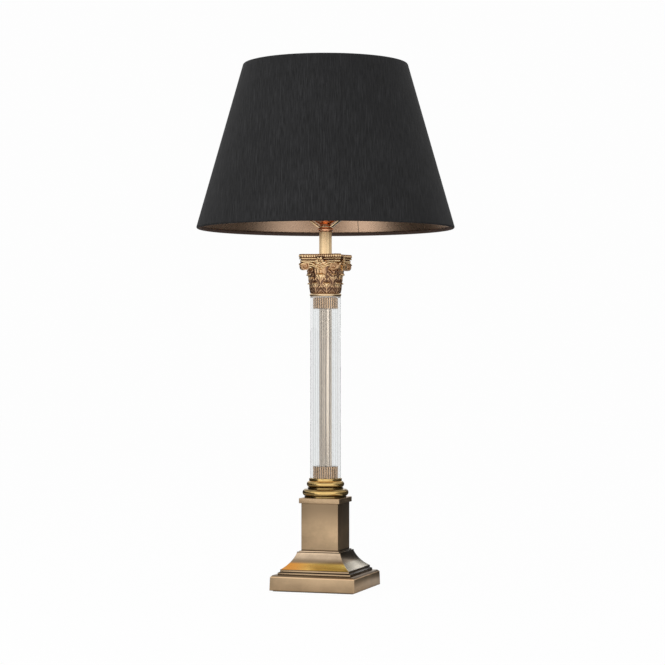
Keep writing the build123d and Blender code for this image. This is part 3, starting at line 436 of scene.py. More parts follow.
def banded(finish, *bands):
    """The finish with its colour changed in bands of height.

    Each band is a level, the lowest, low, high and highest heights from it in millimetres, and a colour.
    """
    height, tone = finish.part("Z"), finish.tone()
    for level, lowest, low, high, highest, rgb in bands:
        tone = finish.mix(((height - level) / MM).within(lowest, low, high, highest), tone, rgb)
    return finish.set(Base_Color=tone)


def cove_brass(name, base, foot):
    """Satin brass whose hollow is painted gold as a painted reflection of the lining above it, silvery on the
    side faces, with painted shade as dark lines in its creases and over the hollow.
    """
    finish = satin_brass(name, (0.68, 0.51, 0.35), rough=0.22)
    up, tone = (finish.part("Z") - foot) / MM, finish.tone()
    across = finish.part("X")
    side = (abs(across) - abs(finish.part("Y"))).between(-0.4 * MM, 0.4 * MM)
    # painted reflection: the hollow takes the colour of the lining that it mirrors, orange to yellow across
    # and silvery on the side faces
    painted_reflection = finish.mix(across.between(-44 * MM, 26 * MM), (0.84, 0.36, 0.07), (1.0, 0.80, 0.24))
    painted_reflection = finish.mix(side * 0.9, painted_reflection, (0.96, 0.88, 0.76))
    tone = finish.mix(up.within(7, 8, 17, 22), tone, painted_reflection)
    # painted shade: a dark band over the hollow on the front and back, and the side faces darker towards
    # their top
    tone = finish.mix(up.within(16, 20, 21, 27) * (1 - side) * 0.8, tone, dark(base, 0.5))
    tone = finish.mix(up.between(14, 26) * side, tone, dark(base, 0.4))
    # from the slab up, bands darkened as painted shade, deepest in the creases: a dark line, the step, its
    # tread, the fillet over it, its edge and the edge of the top
    ease = 0.2
    for low, high, share in (
        (0, 1.2, 0.16), (1.2, 3.3, 0.85), (3.3, 5.4, 0.12), (5.4, 7.2, 0.85), (7.2, 8.3, 0.14),
        (33.4, 34.7, 0.25),
    ):
        line = up.within(low - ease, low + ease, high - ease, high + ease)
        tone = finish.mix(line, tone, dark(base, share))
    return finish.set(Base_Color=tone)


def reeded_brass(name, base, outer):
    """Bright brass, dark between the reeds, whose crowns stand at that radius."""
    finish = bright_brass(name, base, rough=0.14)
    crown = finish.off_axis().between(outer - 0.6 * MM, outer - 0.04 * MM)
    return finish.set(Base_Color=finish.mix(crown, dark(base, 0.07), finish.tone()))


def drawn_brass(name, base, rough=0.1, streaks=0.3):
    """A drawn tube: bright metal with long faint streaks along it."""
    finish = Finish(name, Metallic=1.0)
    streak = finish.noise(1.0, detail=3, rough=0.7, at=finish.at((420, 420, 1.2)))
    cloud = finish.noise(22, detail=2)
    tone = finish.mix(streak.between(0.38, 0.62), dark(base, 1 - streaks), dark(base, 1 + streaks * 0.6))
    return finish.set(
        Base_Color=tone, Roughness=cloud * 0.08 + streak * 0.08 + (rough - 0.05),
        Normal=finish.bump(streak, 0.03 * MM, 0.5),
    )


def cast_brass(name, base, patina):
    """Cast brass that is rubbed bright where it stands out and dark in its hollows, with patina and painted
    shade.
    """
    finish = Finish(name, Metallic=1.0)
    open_air = finish.node("ShaderNodeVertexColor", {"layer_name": "open_air"})
    rub = finish.node("ShaderNodeAttribute", {"attribute_name": "rub"}, output="Fac")
    grain = finish.noise(420, detail=3, rough=0.6)
    cloud = finish.noise(90, detail=3)
    # the hollows that open_air marks get patina and painted shade
    worn = (open_air * 0.6 + rub * 1.1 + cloud * 0.4 - 0.62).between(0.0, 1.0)
    tone = finish.mix(worn.between(0.0, 0.55), patina, (0.74, 0.46, 0.25))
    tone = finish.mix(worn.between(0.45, 0.95), tone, base)
    return finish.set(
        Base_Color=tone, Roughness=0.42 - worn * 0.2 + grain * 0.06,
        Normal=finish.bump(grain, 0.03 * MM, 0.5),
    )


def silk_finish(base, hem, wall):
    """Black dupion: a close weave of fine threads, with short thick slubs that run up the cloth; painted
    shade darkens it towards the top, and its hems are painted the lining's colour as it looks in shade.
    """
    finish = Finish("black_silk", Metallic=0.0, Specular_IOR_Level=0.22)
    cloth = finish.node("ShaderNodeUVMap", {"uv_map": "cloth"})
    # noises stretched up the cloth or, for the threads, across it
    slub = finish.noise(1.0, detail=3, rough=0.6, at=finish.at((760, 55, 1), of=cloth))
    dash = finish.noise(1.0, detail=3, rough=0.6, at=finish.at((520, 22, 1), of=cloth))
    thread = finish.noise(1.0, detail=2, rough=0.6, at=finish.at((110, 1300, 1), of=cloth))
    patch = finish.noise(1.0, detail=2, at=finish.at((10, 7, 1), of=cloth))
    across, up = finish.part("X", cloth), finish.part("Y", cloth)
    line = abs(across - 22.5 * MM + (up - 0.6) * 0.025).between(1.1 * MM, 0.2 * MM)
    low = up.between(0.72, 0.48)
    tone = finish.mix(patch.between(0.3, 0.7), dark(base, 0.9), dark(base, 1.3))
    # painted shade: the cloth a little darker towards the top of the shade
    tone = finish.mix(low * 0.5, tone, dark(base, 0.8))
    tone = finish.mix(slub.between(0.35, 0.68), tone, dark(base, 0.42))
    tone = finish.mix(dash.between(0.5, 0.72) * 0.5, tone, dark(base, 2.2))
    tone = finish.mix(line * 0.6, tone, dark(base, 0.35))
    bottom_r, bottom_z, drop, rise, slope = wall
    inward = (bottom_r - finish.off_axis()) * (rise / slope) + (bottom_z - finish.part("Z")) * (drop / slope)
    # painted shade: the turned-in hems take the lining's colour as it looks in shade
    tone = finish.mix(inward.between(2 * MM, 3.5 * MM), tone, hem)
    height = slub * 0.7 + dash * 0.4 + line * 0.4 + thread * 0.5
    return finish.set(
        Base_Color=tone, Roughness=0.62 + thread * 0.16,
        Normal=finish.bump(height, 0.16 * MM, 0.8),
    )


def lining_finish(base, seam):
    """Metallic lining: thin foil on card, a little wavy, with a satin shine and one lapped edge."""
    finish = Finish("bronze_lining", Metallic=1.0)
    cloth = finish.node("ShaderNodeUVMap", {"uv_map": "cloth"})
    wave = finish.noise(1.0, detail=1, at=finish.at((11, 1.6, 1), of=cloth))
    grain = finish.noise(1.0, detail=3, rough=0.6, at=finish.at((400, 60, 1), of=cloth))
    across, deep = finish.part("X"), finish.part("Y")
    behind = (across * math.cos(seam) + deep * math.sin(seam)).between(0, MM)
    lap = abs(across * math.sin(seam) - deep * math.cos(seam)).between(0.9 * MM, 0.3 * MM) * behind
    tone = finish.mix(wave.between(0.38, 0.6), dark(base, 0.74), dark(base, 1.1))
    tone = finish.mix(lap, tone, dark(base, 0.25))
    return finish.set(
        Base_Color=tone, Roughness=0.24 + grain * 0.08,
        Normal=finish.bump(wave, 1.4 * MM, 0.9, under=finish.bump(grain, 0.006 * MM, 0.2)),
    )


def plain_finish(name, base, rough, metal=0.0, grain=300, depth=0.02, **fixed):
    """A sound workshop finish: an even tone with a little grain."""
    finish = Finish(name, Metallic=metal, **fixed)
    cloud = finish.noise(grain, detail=3)
    tone = finish.mix(cloud.between(0.3, 0.7), dark(base, 0.86), dark(base, 1.08))
    return finish.set(
        Base_Color=tone, Roughness=rough + cloud * 0.06,
        Normal=finish.bump(cloud, depth * MM, 0.5),
    )


def glass_finish(name, tint, lines=()):
    """Clear glass with a trace of drawn lines, and painted grey lines along a tube, a painted reflection of
    dark surroundings that the glass bends into view where its face turns aside.
    """
    finish = Finish(name, Transmission_Weight=1.0, IOR=1.5)
    drawn = finish.noise(20, detail=2, at=finish.at((30, 30, 0.4)))
    tone = tint
    turned_off = finish.node("ShaderNodeLayerWeight", {}, {"Blend": 0.5}, output="Facing")
    for middle, half, share in lines:
        # a painted line stands where the tube's face turns off by that much
        line = turned_off.within(middle - half, middle, middle, middle + half)
        tone = finish.mix(line, tone, dark(tint, share))
    finish.set(Base_Color=tone, Roughness=drawn * 0.01)
    return finish


FINISHES = {}


def mix_finishes(scene):
    """All the lamp's materials, mixed once from the colour settings."""
    shade, metal = scene.lamp_shade, scene.lamp_metal
    satin, bright = tuple(metal.satin), tuple(metal.bright)
    slab_top, die_top, torus_foot = top_of("plinth_slab"), top_of("pedestal_die"), foot_of("lower_torus")
    made = {
        "satin": banded(
            satin_brass("brass_satin", satin),
            # a lighter line along the slab's top edge; painted shade over the slab's top, a painted shadow at
            # its foot and painted shade at the foot of the cap
            (slab_top, -3.8, -3.0, -2.3, -1.7, dark(satin, 1.7)),
            (slab_top, -2.0, -1.4, 2, 3, dark(satin, 0.42)),
            (foot_of("plinth_slab"), -1, 0, 0.6, 1.6, dark(satin, 0.6)),
            (foot_of("pedestal_cap"), -1, -0.2, 1.0, 1.8, dark(satin, 0.5)),
        ),
        "die": banded(
            satin_brass("brass_die", dark(satin, 1.06)),
            # painted shade: darker towards the top under the cap, and a painted shadow at the foot
            (die_top, -52, -4, 0, 1, dark(satin, 0.5)),
            (foot_of("pedestal_die"), -1, 0, 1.0, 2.4, dark(satin, 0.28)),
        ),
        "cove": cove_brass("brass_cove", satin, foot_of("plinth_cove")),
        "bright": bright_brass("brass_bright", bright),
        "rings": banded(
            bright_brass("brass_rings", bright),
            # painted reflection and shade: dark below each ring's bright band and over the top of the upper
            # ring
            (torus_foot, -1, 0, 4.5, 7, dark(bright, 0.36)),
            (torus_foot, 10, 11, 18, 20.5, dark(bright, 0.4)),
            (torus_foot, 22, 23.5, 24, 25, dark(bright, 0.55)),
        ),
        "pale": bright_brass("brass_pale", (0.90, 0.66, 0.40), rough=0.16),
        "reeds": reeded_brass("brass_reeds", (0.56, 0.37, 0.22), reach_of("lower_collar")),
        "stem": drawn_brass("brass_stem", (0.98, 0.70, 0.40), rough=0.18, streaks=0.12),
        "polished": bright_brass("brass_polished", tuple(metal.polished), rough=0.12),
        "core": drawn_brass("brass_core", (0.54, 0.46, 0.38), streaks=0.6),
        "cast": cast_brass("brass_cast", tuple(metal.cast), tuple(metal.patina)),
        "copper": bright_brass("copper_brass", tuple(metal.copper), rough=0.2),
        # the silk's hem colour is the lining's colour darkened, as painted shade
        "silk": silk_finish(tuple(shade.silk), (0.075, 0.045, 0.034), shade_line(scene)),
        "lining": lining_finish(tuple(shade.lining), LINING_SEAM_AT),
        # painted reflection: grey lines along the column's glass
        "glass": glass_finish("clear_glass", (0.92, 0.93, 0.93), ((0.157, 0.024, 0.6), (0.42, 0.05, 0.94))),
        "bulb": glass_finish("bulb_glass", (0.97, 0.97, 0.96)),
        "steel": plain_finish("steel", (0.55, 0.55, 0.54), 0.3, metal=1.0),
        "iron": plain_finish("iron", (0.10, 0.10, 0.10), 0.6, metal=0.8, depth=0.15),
        "felt": plain_finish("felt", (0.05, 0.06, 0.05), 0.9, grain=900, depth=0.3, Sheen_Weight=0.3),
        "gasket": plain_finish("gasket", (0.8, 0.8, 0.78), 0.45),
        "fibre": plain_finish("fibre", (0.45, 0.34, 0.22), 0.8, grain=500, depth=0.06),
        "moulding": plain_finish("moulding", (0.025, 0.025, 0.026), 0.28, grain=120, depth=0.01),
        "ring": plain_finish("ring_wire", (0.85, 0.85, 0.83), 0.35),
        "insulation": plain_finish("bulb_insulation", (0.02, 0.02, 0.03), 0.2, grain=120, depth=0.01),
    }
    FINISHES.update({key: finish.material for key, finish in made.items()})


# ---- the shade ----
def shade_line(scene):
    """The shade's outer line: bottom and top radius, bottom and top height, and the slope's length."""
    shade = scene.lamp_shade
    low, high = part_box("shade_cover")
    bottom_r = high.x
    drop = bottom_r - shade.top_radius
    rise = high.z - low.z
    # the box also takes in the rim, which leans below the outer edge
    slope = math.hypot(drop, rise)
    bottom_z = low.z + shade.rim * drop / slope
    rise = high.z - bottom_z
    return bottom_r, bottom_z, drop, rise, math.hypot(drop, rise)


def in_wall(scene, along, inward):
    """A (radius, height) place in the shade's wall, up its slope and in from its outer face."""
    bottom_r, bottom_z, drop, rise, slope = shade_line(scene)
    up, back = rise / slope, drop / slope
    return bottom_r - back * along - up * inward, bottom_z + up * along - back * inward


def lay_cloth(scene, piece, seam):
    """A UV map that is the cone's flat pattern, in metres, with its cut at the seam."""
    bottom_r, bottom_z, drop, rise, slope = shade_line(scene)
    apex_z = bottom_z + rise * bottom_r / drop
    turn = drop / slope
    mesh = piece.data
    places = mesh.uv_layers.new(name="cloth")
    for face in mesh.polygons:
        middle = math.atan2(face.center.y, face.center.x) - seam
        middle -= 2 * math.pi * math.floor(middle / (2 * math.pi))
        for corner in face.loop_indices:
            point = mesh.vertices[mesh.loops[corner].vertex_index].co
            angle = math.atan2(point.y, point.x) - seam
            angle -= 2 * math.pi * round((angle - middle) / (2 * math.pi))
            out = math.hypot(math.hypot(point.x, point.y), apex_z - point.z)
            lean = (angle - math.pi) * turn
            places.data[corner].uv = (out * math.sin(lean), out * math.cos(lean))


SEAM_AT = math.radians(108)     # from +X: the silk's seam, at the back of the shade
LINING_SEAM_AT = math.radians(92)       # the lining's lap


class LAMP_OT_shade(bpy.types.Operator):
    """Makes the silk cover with its turned-in hems, the lining and the spider that carries them"""
    bl_idname = "lamp.shade"
    bl_label = "Shade"

    def execute(self, context):
        scene = context.scene
        self.cover(scene)
        self.lining(scene)
        self.spider(scene)
        paint("shade_bottom_ring", FINISHES["ring"])
        return {"FINISHED"}

    def cover(self, scene):
        """The silk, one closed cone whose rims turn in round the rings and end in hems."""
        shade = scene.lamp_shade
        slope = shade_line(scene)[4]
        half, rows = shade.rim / 2, 24
        turns = [math.pi * k / SLICE for k in range(SLICE + 1)]

        def line(inset):
            """The cloth from its bottom hem round the rim, up the wall and round to its top hem."""
            r, end = half - inset, shade.rim - inset
            return [
                (shade.hem, end),
                *((half - r * math.sin(t), half + r * math.cos(t)) for t in turns),
                *((half + (slope - shade.rim) * k / rows, inset) for k in range(1, rows)),
                *((slope - half + r * math.sin(t), half - r * math.cos(t)) for t in turns),
                (slope - shade.hem, end),
            ]

        outer, inner = line(0.0), line(shade.cloth)[::-1]
        rings = [in_wall(scene, along, inward) for along, inward in outer + inner]
        cloth = turned("shade_silk", rings, sides=SHADE_SIDES)
        self.lap(scene, cloth, 0.45 * MM)
        lay_cloth(scene, cloth, SEAM_AT)
        settle(cloth, "shade", "black_silk", FINISHES["silk"], "shade_cover")

    def lap(self, scene, cloth, step):
        """Raises the overlap of the back seam."""
        width = scene.lamp_shade.seam_lap
        for vertex in cloth.data.vertices:
            x, y = vertex.co.x, vertex.co.y
            r = math.hypot(x, y)
            off = (math.atan2(y, x) - SEAM_AT) * r
            if 0 < off < width and vertex.normal.x * x + vertex.normal.y * y > 0:
                vertex.co.x += step * x / r
                vertex.co.y += step * y / r

    def flat_size(self, scene):
        """The flat size of the piece of cloth that the cone is cut from."""
        bottom_r, _, drop, _, slope = shade_line(scene)
        outer = slope * bottom_r / drop
        half = math.pi * drop / slope
        inner = outer - slope
        hem = 2 * scene.lamp_shade.hem
        return 2 * outer * math.sin(half), outer - inner * math.cos(half) + hem

    def lining(self, scene):
        """The foil, a thin cone behind the cloth, from rim to rim."""
        shade = scene.lamp_shade
        slope = shade_line(scene)[4]
        glue, foil_t, rows = 0.3 * MM, 0.4 * MM, 20
        near, far = shade.cloth + glue, shade.cloth + glue + foil_t
        ups = [shade.rim + (slope - 2 * shade.rim) * k / rows for k in range(rows + 1)]
        rings = [in_wall(scene, up, near) for up in ups] + [in_wall(scene, up, far) for up in reversed(ups)]
        foil = turned("shade_lining_foil", rings, sides=SHADE_SIDES)
        lay_cloth(scene, foil, SEAM_AT)
        settle(foil, "shade", "bronze_lining", FINISHES["lining"], "shade_lining")

    def spider(self, scene):
        """The washer, the top ring and the three spokes between them."""
        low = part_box("shade_spider")[0].z
        washer_r, washer_t, hole_r, wire_r, ring_wire_r = 16 * MM, 1.5 * MM, 3.4 * MM, 1.5 * MM, 1.3 * MM
        rings = [(hole_r, low), (washer_r, low), (washer_r, low + washer_t), (hole_r, low + washer_t)]
        pieces = [eased(turned("washer", rings), 0.3 * MM)]
        middle = scene.lamp_shade.rim / 2
        ring_r, ring_z = in_wall(scene, shade_line(scene)[4] - middle, middle)
        put_down()
        bpy.ops.mesh.primitive_torus_add(
            major_radius=ring_r, minor_radius=ring_wire_r, major_segments=ROUND, minor_segments=16,
            location=(0, 0, ring_z),
        )
        pieces.append(named("ring"))
        for turn in (90, 210, 330):
            c, s = math.cos(math.radians(turn)), math.sin(math.radians(turn))
            ends = [Vector((r * c, r * s, z)) for r, z in ((13 * MM, low + washer_t / 2), (ring_r, ring_z))]
            pieces.append(rod("spoke", *ends, wire_r))
        spider = close_up(joined("shade_carrier", *pieces))
        settle(spider, "shade", "brass_polished", FINISHES["polished"], "shade_spider")


def rod(name, start, end, radius):
    """A round bar between two points."""
    put_down()
    along = end - start
    bpy.ops.mesh.primitive_cylinder_add(
        vertices=24, radius=radius, depth=along.length, location=(start + end) / 2,
        rotation=along.to_track_quat("Z", "Y").to_euler(),
    )
    return named(name)


# ---- the foot ----
class LAMP_OT_foot(bpy.types.Operator):
    """Makes the slab, the hollow moulding, the die and its cap"""
    bl_idname = "lamp.foot"
    bl_label = "Foot"

    def execute(self, context):
        edge = context.scene.lamp_metal.edge
        for node, finish in (("plinth_slab", "satin"), ("pedestal_die", "die"), ("pedestal_cap", "satin")):
            piece = copied(node, node + "_brass", edge)
            settle(piece, "lamp", "brass_satin", FINISHES[finish], node)
        cove = copied("plinth_cove", "plinth_cove_brass", edge / 2)
        settle(cove, "lamp", "brass_bright", FINISHES["cove"], "plinth_cove")
        return {"FINISHED"}


# ---- the turned rings ----
def half_round(name, node, points=16, hole=ROD_HOLE, recess=0.0):
    """A ring in a frame node's place with a half-round rim, whose hole is wider up to a recess if asked."""
    foot, top = foot_of(node), top_of(node)
    rings = [(hole, foot)] + half_circle(reach_of(node) - (top - foot) / 2, foot, top, points)
    rings.append((ROD_HOLE, top))
    if recess:
        rings += [(ROD_HOLE, foot + recess), (hole, foot + recess)]
    return turned(name, rings)


class LAMP_OT_rings(bpy.types.Operator):
    """Turns the rings of the column's base, the astragal and the stem's collar"""
    bl_idname = "lamp.rings"
    bl_label = "Turned rings"

    def execute(self, context):
        foot, top = foot_of("lower_torus"), top_of("lower_torus")
        disc_r, disc_t, scotia_r, scotia_t, round_off = 33 * MM, 2.5 * MM, 27.8 * MM, 2.5 * MM, 0.4 * MM
        low, high = foot + disc_t, top - scotia_t
        rings = [(ROD_HOLE, foot), (disc_r - round_off, foot), (disc_r, foot + round_off), (disc_r, low)]
        rings += half_circle(reach_of("lower_torus") - (high - low) / 2, low, high)
        rings += [(scotia_r, high), (scotia_r, top), (ROD_HOLE, top)]
        settle(turned("column_base_ring", rings), "lamp", "brass_bright", FINISHES["rings"], "lower_torus")
        ring = half_round("column_upper_ring", "upper_torus")
        settle(ring, "lamp", "brass_bright", FINISHES["rings"], "upper_torus")
        astragal = half_round("astragal_brass", "astragal_ring", hole=TUBE_HOLE, recess=2 * MM)
        settle(astragal, "lamp", "brass_bright", FINISHES["pale"], "astragal_ring")
        collar = half_round("stem_collar_copper", "stem_collar", points=14)
        settle(collar, "lamp", "copper_brass", FINISHES["copper"], "stem_collar")
        seat = eased(copied("glass_seat", "glass_seat_brass"), 0.3 * MM)
        settle(seat, "lamp", "brass_bright", FINISHES["bright"], "glass_seat")
        return {"FINISHED"}


# ---- the column ----
class LAMP_OT_column(bpy.types.Operator):
    """Makes the glass tube, the metal tube in it and the reeded collars at its ends"""
    bl_idname = "lamp.column"
    bl_label = "Column"

    def execute(self, context):
        low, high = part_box("glass_tube")
        wall, round_off = 4 * MM, 0.5 * MM
        outer, inner = high.x, high.x - wall
        rings = [
            (inner, low.z + round_off), (inner + round_off, low.z), (outer - round_off, low.z),
            (outer, low.z + round_off), (outer, high.z - round_off), (outer - round_off, high.z),
            (inner + round_off, high.z), (inner, high.z - round_off),
        ]
        glass = turned("column_glass", rings, sides=192)
        settle(glass, "lamp", "clear_glass", FINISHES["glass"], "glass_tube")
        for name, node, finish in (("core_brass", "core_tube", "core"), ("stem_brass", "stem_tube", "stem")):
            low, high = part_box(node)
            inner = high.x - 1.5 * MM
            tube = turned(name, [(inner, low.z), (high.x, low.z), (high.x, high.z), (inner, high.z)])
            settle(tube, "lamp", "brass_polished", FINISHES[finish], node)
        for node in ("lower_collar", "upper_collar"):
            settle(self.collar(node), "lamp", "brass_bright", FINISHES["reeds"], node)
        for node in ("lower_gasket", "upper_gasket"):
            paint(node, FINISHES["gasket"])
        return {"FINISHED"}

    def collar(self, node):
        """A ring whose rim is cut into half-round upright reeds."""
        low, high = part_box(node)
        reeds, steps, depth, slant = 36, 8, 0.9 * MM, 0.3 * MM
        outer = high.x
        rings = [
            (TUBE_HOLE, low.z), (outer - depth, low.z), (outer, low.z + slant), (outer, high.z - slant),
            (outer - depth, high.z), (TUBE_HOLE, high.z),
        ]
        collar = turned(node + "_brass", rings, sides=reeds * steps)
        for vertex in collar.data.vertices:
            r = math.hypot(vertex.co.x, vertex.co.y)
            if r > outer - depth / 2:
                place = math.atan2(vertex.co.y, vertex.co.x) * reeds / (2 * math.pi)
                off = 2 * (place - math.floor(place)) - 1
                share = (r - depth * (1 - math.sqrt(1 - off * off))) / r
                vertex.co.x *= share
                vertex.co.y *= share
        bpy.ops.object.shade_smooth_by_angle(angle=math.radians(50))
        return collar


# ---- the capital ----
# a leaf's half width at shares of its length from its foot, as a share of the full half width
LEAF_EDGE = (
    (0, 0.84), (0.16, 1.0), (0.30, 0.99), (0.36, 0.80), (0.48, 0.98), (0.58, 0.94), (0.64, 0.72),
    (0.76, 0.84), (0.86, 0.74), (1.0, 0.34),
)
# the stalks on the right of a flower: their places (across, up, out) and their radii, in millimetres
STALKS = {
    "stem": (
        ((1.2, -12, 0.2), (3.2, -8.6, 0.8), (8.0, -4.6, 0.8), (13.0, -1.7, 0.2), (19.0, -0.7, -0.4),
         (25.0, -1.0, -1.6), (30.0, -3.4, -3.0)),
        (0.7, 1.1, 1.4, 1.5, 1.5, 1.5, 1.1),
    ),
    "under": (
        ((2.5, -11, -0.6), (8.0, -7.4, -0.4), (13.0, -5.0, -1.0), (18.0, -4.6, -1.6)), (0.6, 1.2, 1.4, 1.2),
    ),
    "blade": (((0.3, -6.2, 2.6), (3.4, -5.0, 3.0), (6.6, -6.0, 2.6), (9.4, -8.4, 1.6)), (0.7, 1.3, 1.2, 0.4)),
    "inner": (
        ((0.4, -9.5, 2.2), (2.4, -8.6, 2.4), (4.4, -9.4, 2.0), (5.2, -11.2, 1.2)), (0.6, 1.0, 0.9, 0.5),
    ),
}
BEADS = ((0, -9.3, 1.5), (0, -12.4, 1.1), (1.9, -11.9, 0.9), (-1.9, -11.9, 0.9))    # across, up, radius
# the abacus's rings: how far in and how deeply ridged, how high over the bell, in millimetres, and how rubbed
ABACUS = (
    (20, 0, 0, 0.2), (3.2, 0, 0, 0.3), (2.6, 0, 0.3, 0.6), (2.4, 0, 0.8, 0.9), (2.4, 0, 3.0, 0.9),
    (2.8, 0, 3.4, 0.6), (3.6, 0, 3.6, 0.15), (3.6, 0, 4.4, 0.15), (1.4, 0, 4.6, 0.5), (0.9, 0, 5.1, 0.9),
    (0.8, 0, 5.9, 0.9), (1.3, 0, 6.9, 0.6), (1.8, 0, 7.2, 0.15), (0.9, 0.5, 7.45, 0.4), (0.3, 1.15, 8.1, 0.7),
    (0, 1.2, 9.2, 0.95),
)
# the same for its last rings, with their heights from the top
ABACUS_TOP = (
    (0, 1.2, -1.8, 0.95), (0.35, 1.1, -0.8, 0.95), (1.1, 0.5, -0.15, 0.8), (1.8, 0, 0, 0.6), (20, 0, 0, 0.5),
)


def spin_copies(piece, turns, name):
    """Copies of a piece turned about the lamp's axis to these angles in degrees."""
    copies = []
    for turn in turns:
        take(piece)
        bpy.ops.object.duplicate()
        copy = bpy.context.object
        copy.name = name
        c, s = math.cos(math.radians(turn)), math.sin(math.radians(turn))
        for vertex in copy.data.vertices:
            x, y, z = vertex.co
            vertex.co = (c * x - s * y, s * x + c * y, z)
        copies.append(copy)
    bpy.data.objects.remove(piece)
    return copies


def rubbed(piece, shares):
    """The piece with its share of rubbing, one for all its vertices or one each."""
    layer = piece.data.attributes.new("rub", "FLOAT", "POINT")
    values = np.full(len(piece.data.vertices), shares, np.float32)
    layer.data.foreach_set("value", values)
    return piece


def ease_in(value):
    """0 below 0, 1 above 1 and a smooth step between."""
    t = min(max(value, 0.0), 1.0)
    return t * t * (3 - 2 * t)


class LAMP_OT_capital(bpy.types.Operator):
    """Carves the capital: bell, two rows of leaves, scrolls, layered abacus and flowers"""
    bl_idname = "lamp.capital"
    bl_label = "Capital"

    def execute(self, context):
        size = context.scene.lamp_capital
        self.size = size
        self.foot = foot_of("capital")
        self.top = top_of("capital")
        self.lip = self.foot + size.bell_height
        faces = [0, 90, 180, 270]
        corners = [45, 135, 225, 315]
        pieces = [self.bell()]
        low = self.leaf(0, size.low_leaf, 19 * MM, 0.6 * MM)
        pieces += spin_copies(low, [45 * k + 22.5 for k in range(8)], "low_leaf")
        high = self.leaf(9 * MM, size.top_leaf, 20 * MM, 0.95 * MM)
        pieces += spin_copies(high, [45 * k for k in range(8)], "top_leaf")
        calyx = self.leaf(24 * MM, 39.5 * MM, 21 * MM, 2.6 * MM, belly=1.6 * MM)
        pieces += spin_copies(calyx, corners, "calyx")
        pieces += spin_copies(rubbed(self.scroll(), 0.6), corners, "scroll")
        pieces += spin_copies(rubbed(self.spray(), 0.85), faces, "spray")
        pieces.append(self.abacus())
        pieces += spin_copies(self.flower(), faces, "flower")
        whole = joined("capital_cast", *pieces)
        bpy.ops.object.shade_smooth_by_angle(angle=math.radians(50))
        self.mark_patina_and_shade(whole)
        settle(whole, "lamp", "brass_cast", FINISHES["cast"], "capital")
        return {"FINISHED"}

    def bell_r(self, z):
        """The bell's radius at a height: an even flare, then a wider one under the abacus."""
        size = self.size
        high = z - self.foot
        up = min(max(high / size.throat_height, 0.0), 1.0)
        flare = min(max((high - size.throat_height) / (size.bell_height - size.throat_height), 0.0), 1.0)
        r = size.bell_radius + (size.throat_radius - size.bell_radius) * up
        return r + (size.lip_radius - size.throat_radius) * flare ** 1.3

    def bell(self):
        """The bell behind the leaves, lightly fluted."""
        flutes, rows = 36, 24
        levels = [self.foot + self.size.bell_height * k / rows for k in range(rows + 1)]
        rings = [(ROD_HOLE, self.foot)] + [(self.bell_r(z), z) for z in levels] + [(ROD_HOLE, self.lip)]
        bell = turned("bell", rings, sides=8 * flutes)
        for vertex in bell.data.vertices:
            x, y, z = vertex.co
            up = ease_in((z - self.foot) / (2 * MM)) * ease_in((self.lip - 8 * MM - z) / (6 * MM))
            r = math.hypot(x, y)
            if r > 3 * ROD_HOLE:
                share = 1 + 0.35 * MM * up * math.cos(flutes * math.atan2(y, x)) / r
                vertex.co = (x * share, y * share, z)
        shares = []
        for vertex in bell.data.vertices:
            beside = abs(math.sin(2 * math.atan2(vertex.co.y, vertex.co.x)))
            high = ease_in((vertex.co.z - self.foot - 24 * MM) / (8 * MM))
            shares.append(0.3 + 0.35 * high * ease_in((0.8 - beside) / 0.4))
        return rubbed(bell, shares)

    def leaf(self, low, high, width, curl, belly=0.5 * MM):
        """An acanthus leaf facing +X, between two heights of the bell, whose tip curls out and over."""
        across, along, lobes = 26, 44, 10
        vein, rib, rib_half, eyelet, fall, droop = 0.42 * MM, 0.85 * MM, 0.11, 1.3 * MM, 0.5 * MM, 1.3 * MM
        put_down()
        bpy.ops.mesh.primitive_grid_add(x_subdivisions=across, y_subdivisions=along, size=2)
        leaf = named("leaf")
        base, tail, roll = 1.0 * MM, 0.6 * MM, math.radians(160)
        stand = high - low - curl
        whole = stand + curl * roll + tail
        edge_at, edge_share = zip(*LEAF_EDGE)
        worn = []
        for vertex in leaf.data.vertices:
            u, v = vertex.co.x, (vertex.co.y + 1) / 2
            s = v * whole
            if s < stand:
                out, up = base + belly * math.sin(math.pi * s / stand), s
            else:
                turn = min((s - stand) / curl, roll)
                rest = max(s - stand - curl * roll, 0)
                out = base + curl * (1 - math.cos(turn)) + rest * math.sin(roll)
                up = stand + curl * math.sin(turn) + rest * math.cos(roll)
            flat = s < stand
            edge = np.interp(v, edge_at, edge_share) * (1 + 0.045 * math.cos(2 * math.pi * lobes * v))
            far = abs(u)
            veins = math.cos(2 * math.pi * (1.75 * far - 2.9 * v)) * min(far / 0.22, 1.0)
            on_rib = math.exp(-((u / rib_half) ** 2))
            lift = vein * veins + rib * on_rib * (1 - 0.6 * v)
            for eye in (0.36, 0.64):
                lift -= eyelet * math.exp(-((far - 0.66) / 0.10) ** 2 - ((v - eye) / 0.028) ** 2)
            lift -= fall * far ** 4
            lift *= 1.0 if flat else 0.5
            z = self.foot + low + up
            r = self.bell_r(z) + out + lift
            side = u * edge * width / 2
            spread = side / (self.bell_r(z) + base)
            sag = 0.0 if flat else droop * (far * edge) ** 2
            vertex.co = (r * math.cos(spread), r * math.sin(spread), z - sag)
            worn.append(0.35 + 0.5 * ease_in((v - 0.45) / 0.3) + 0.15 * veins + 0.2 * on_rib)
        rubbed(leaf, worn)
        modified(leaf, "SOLIDIFY", thickness=1.5 * MM, offset=-1, use_even_offset=False)
        return close_up(leaf, 60)

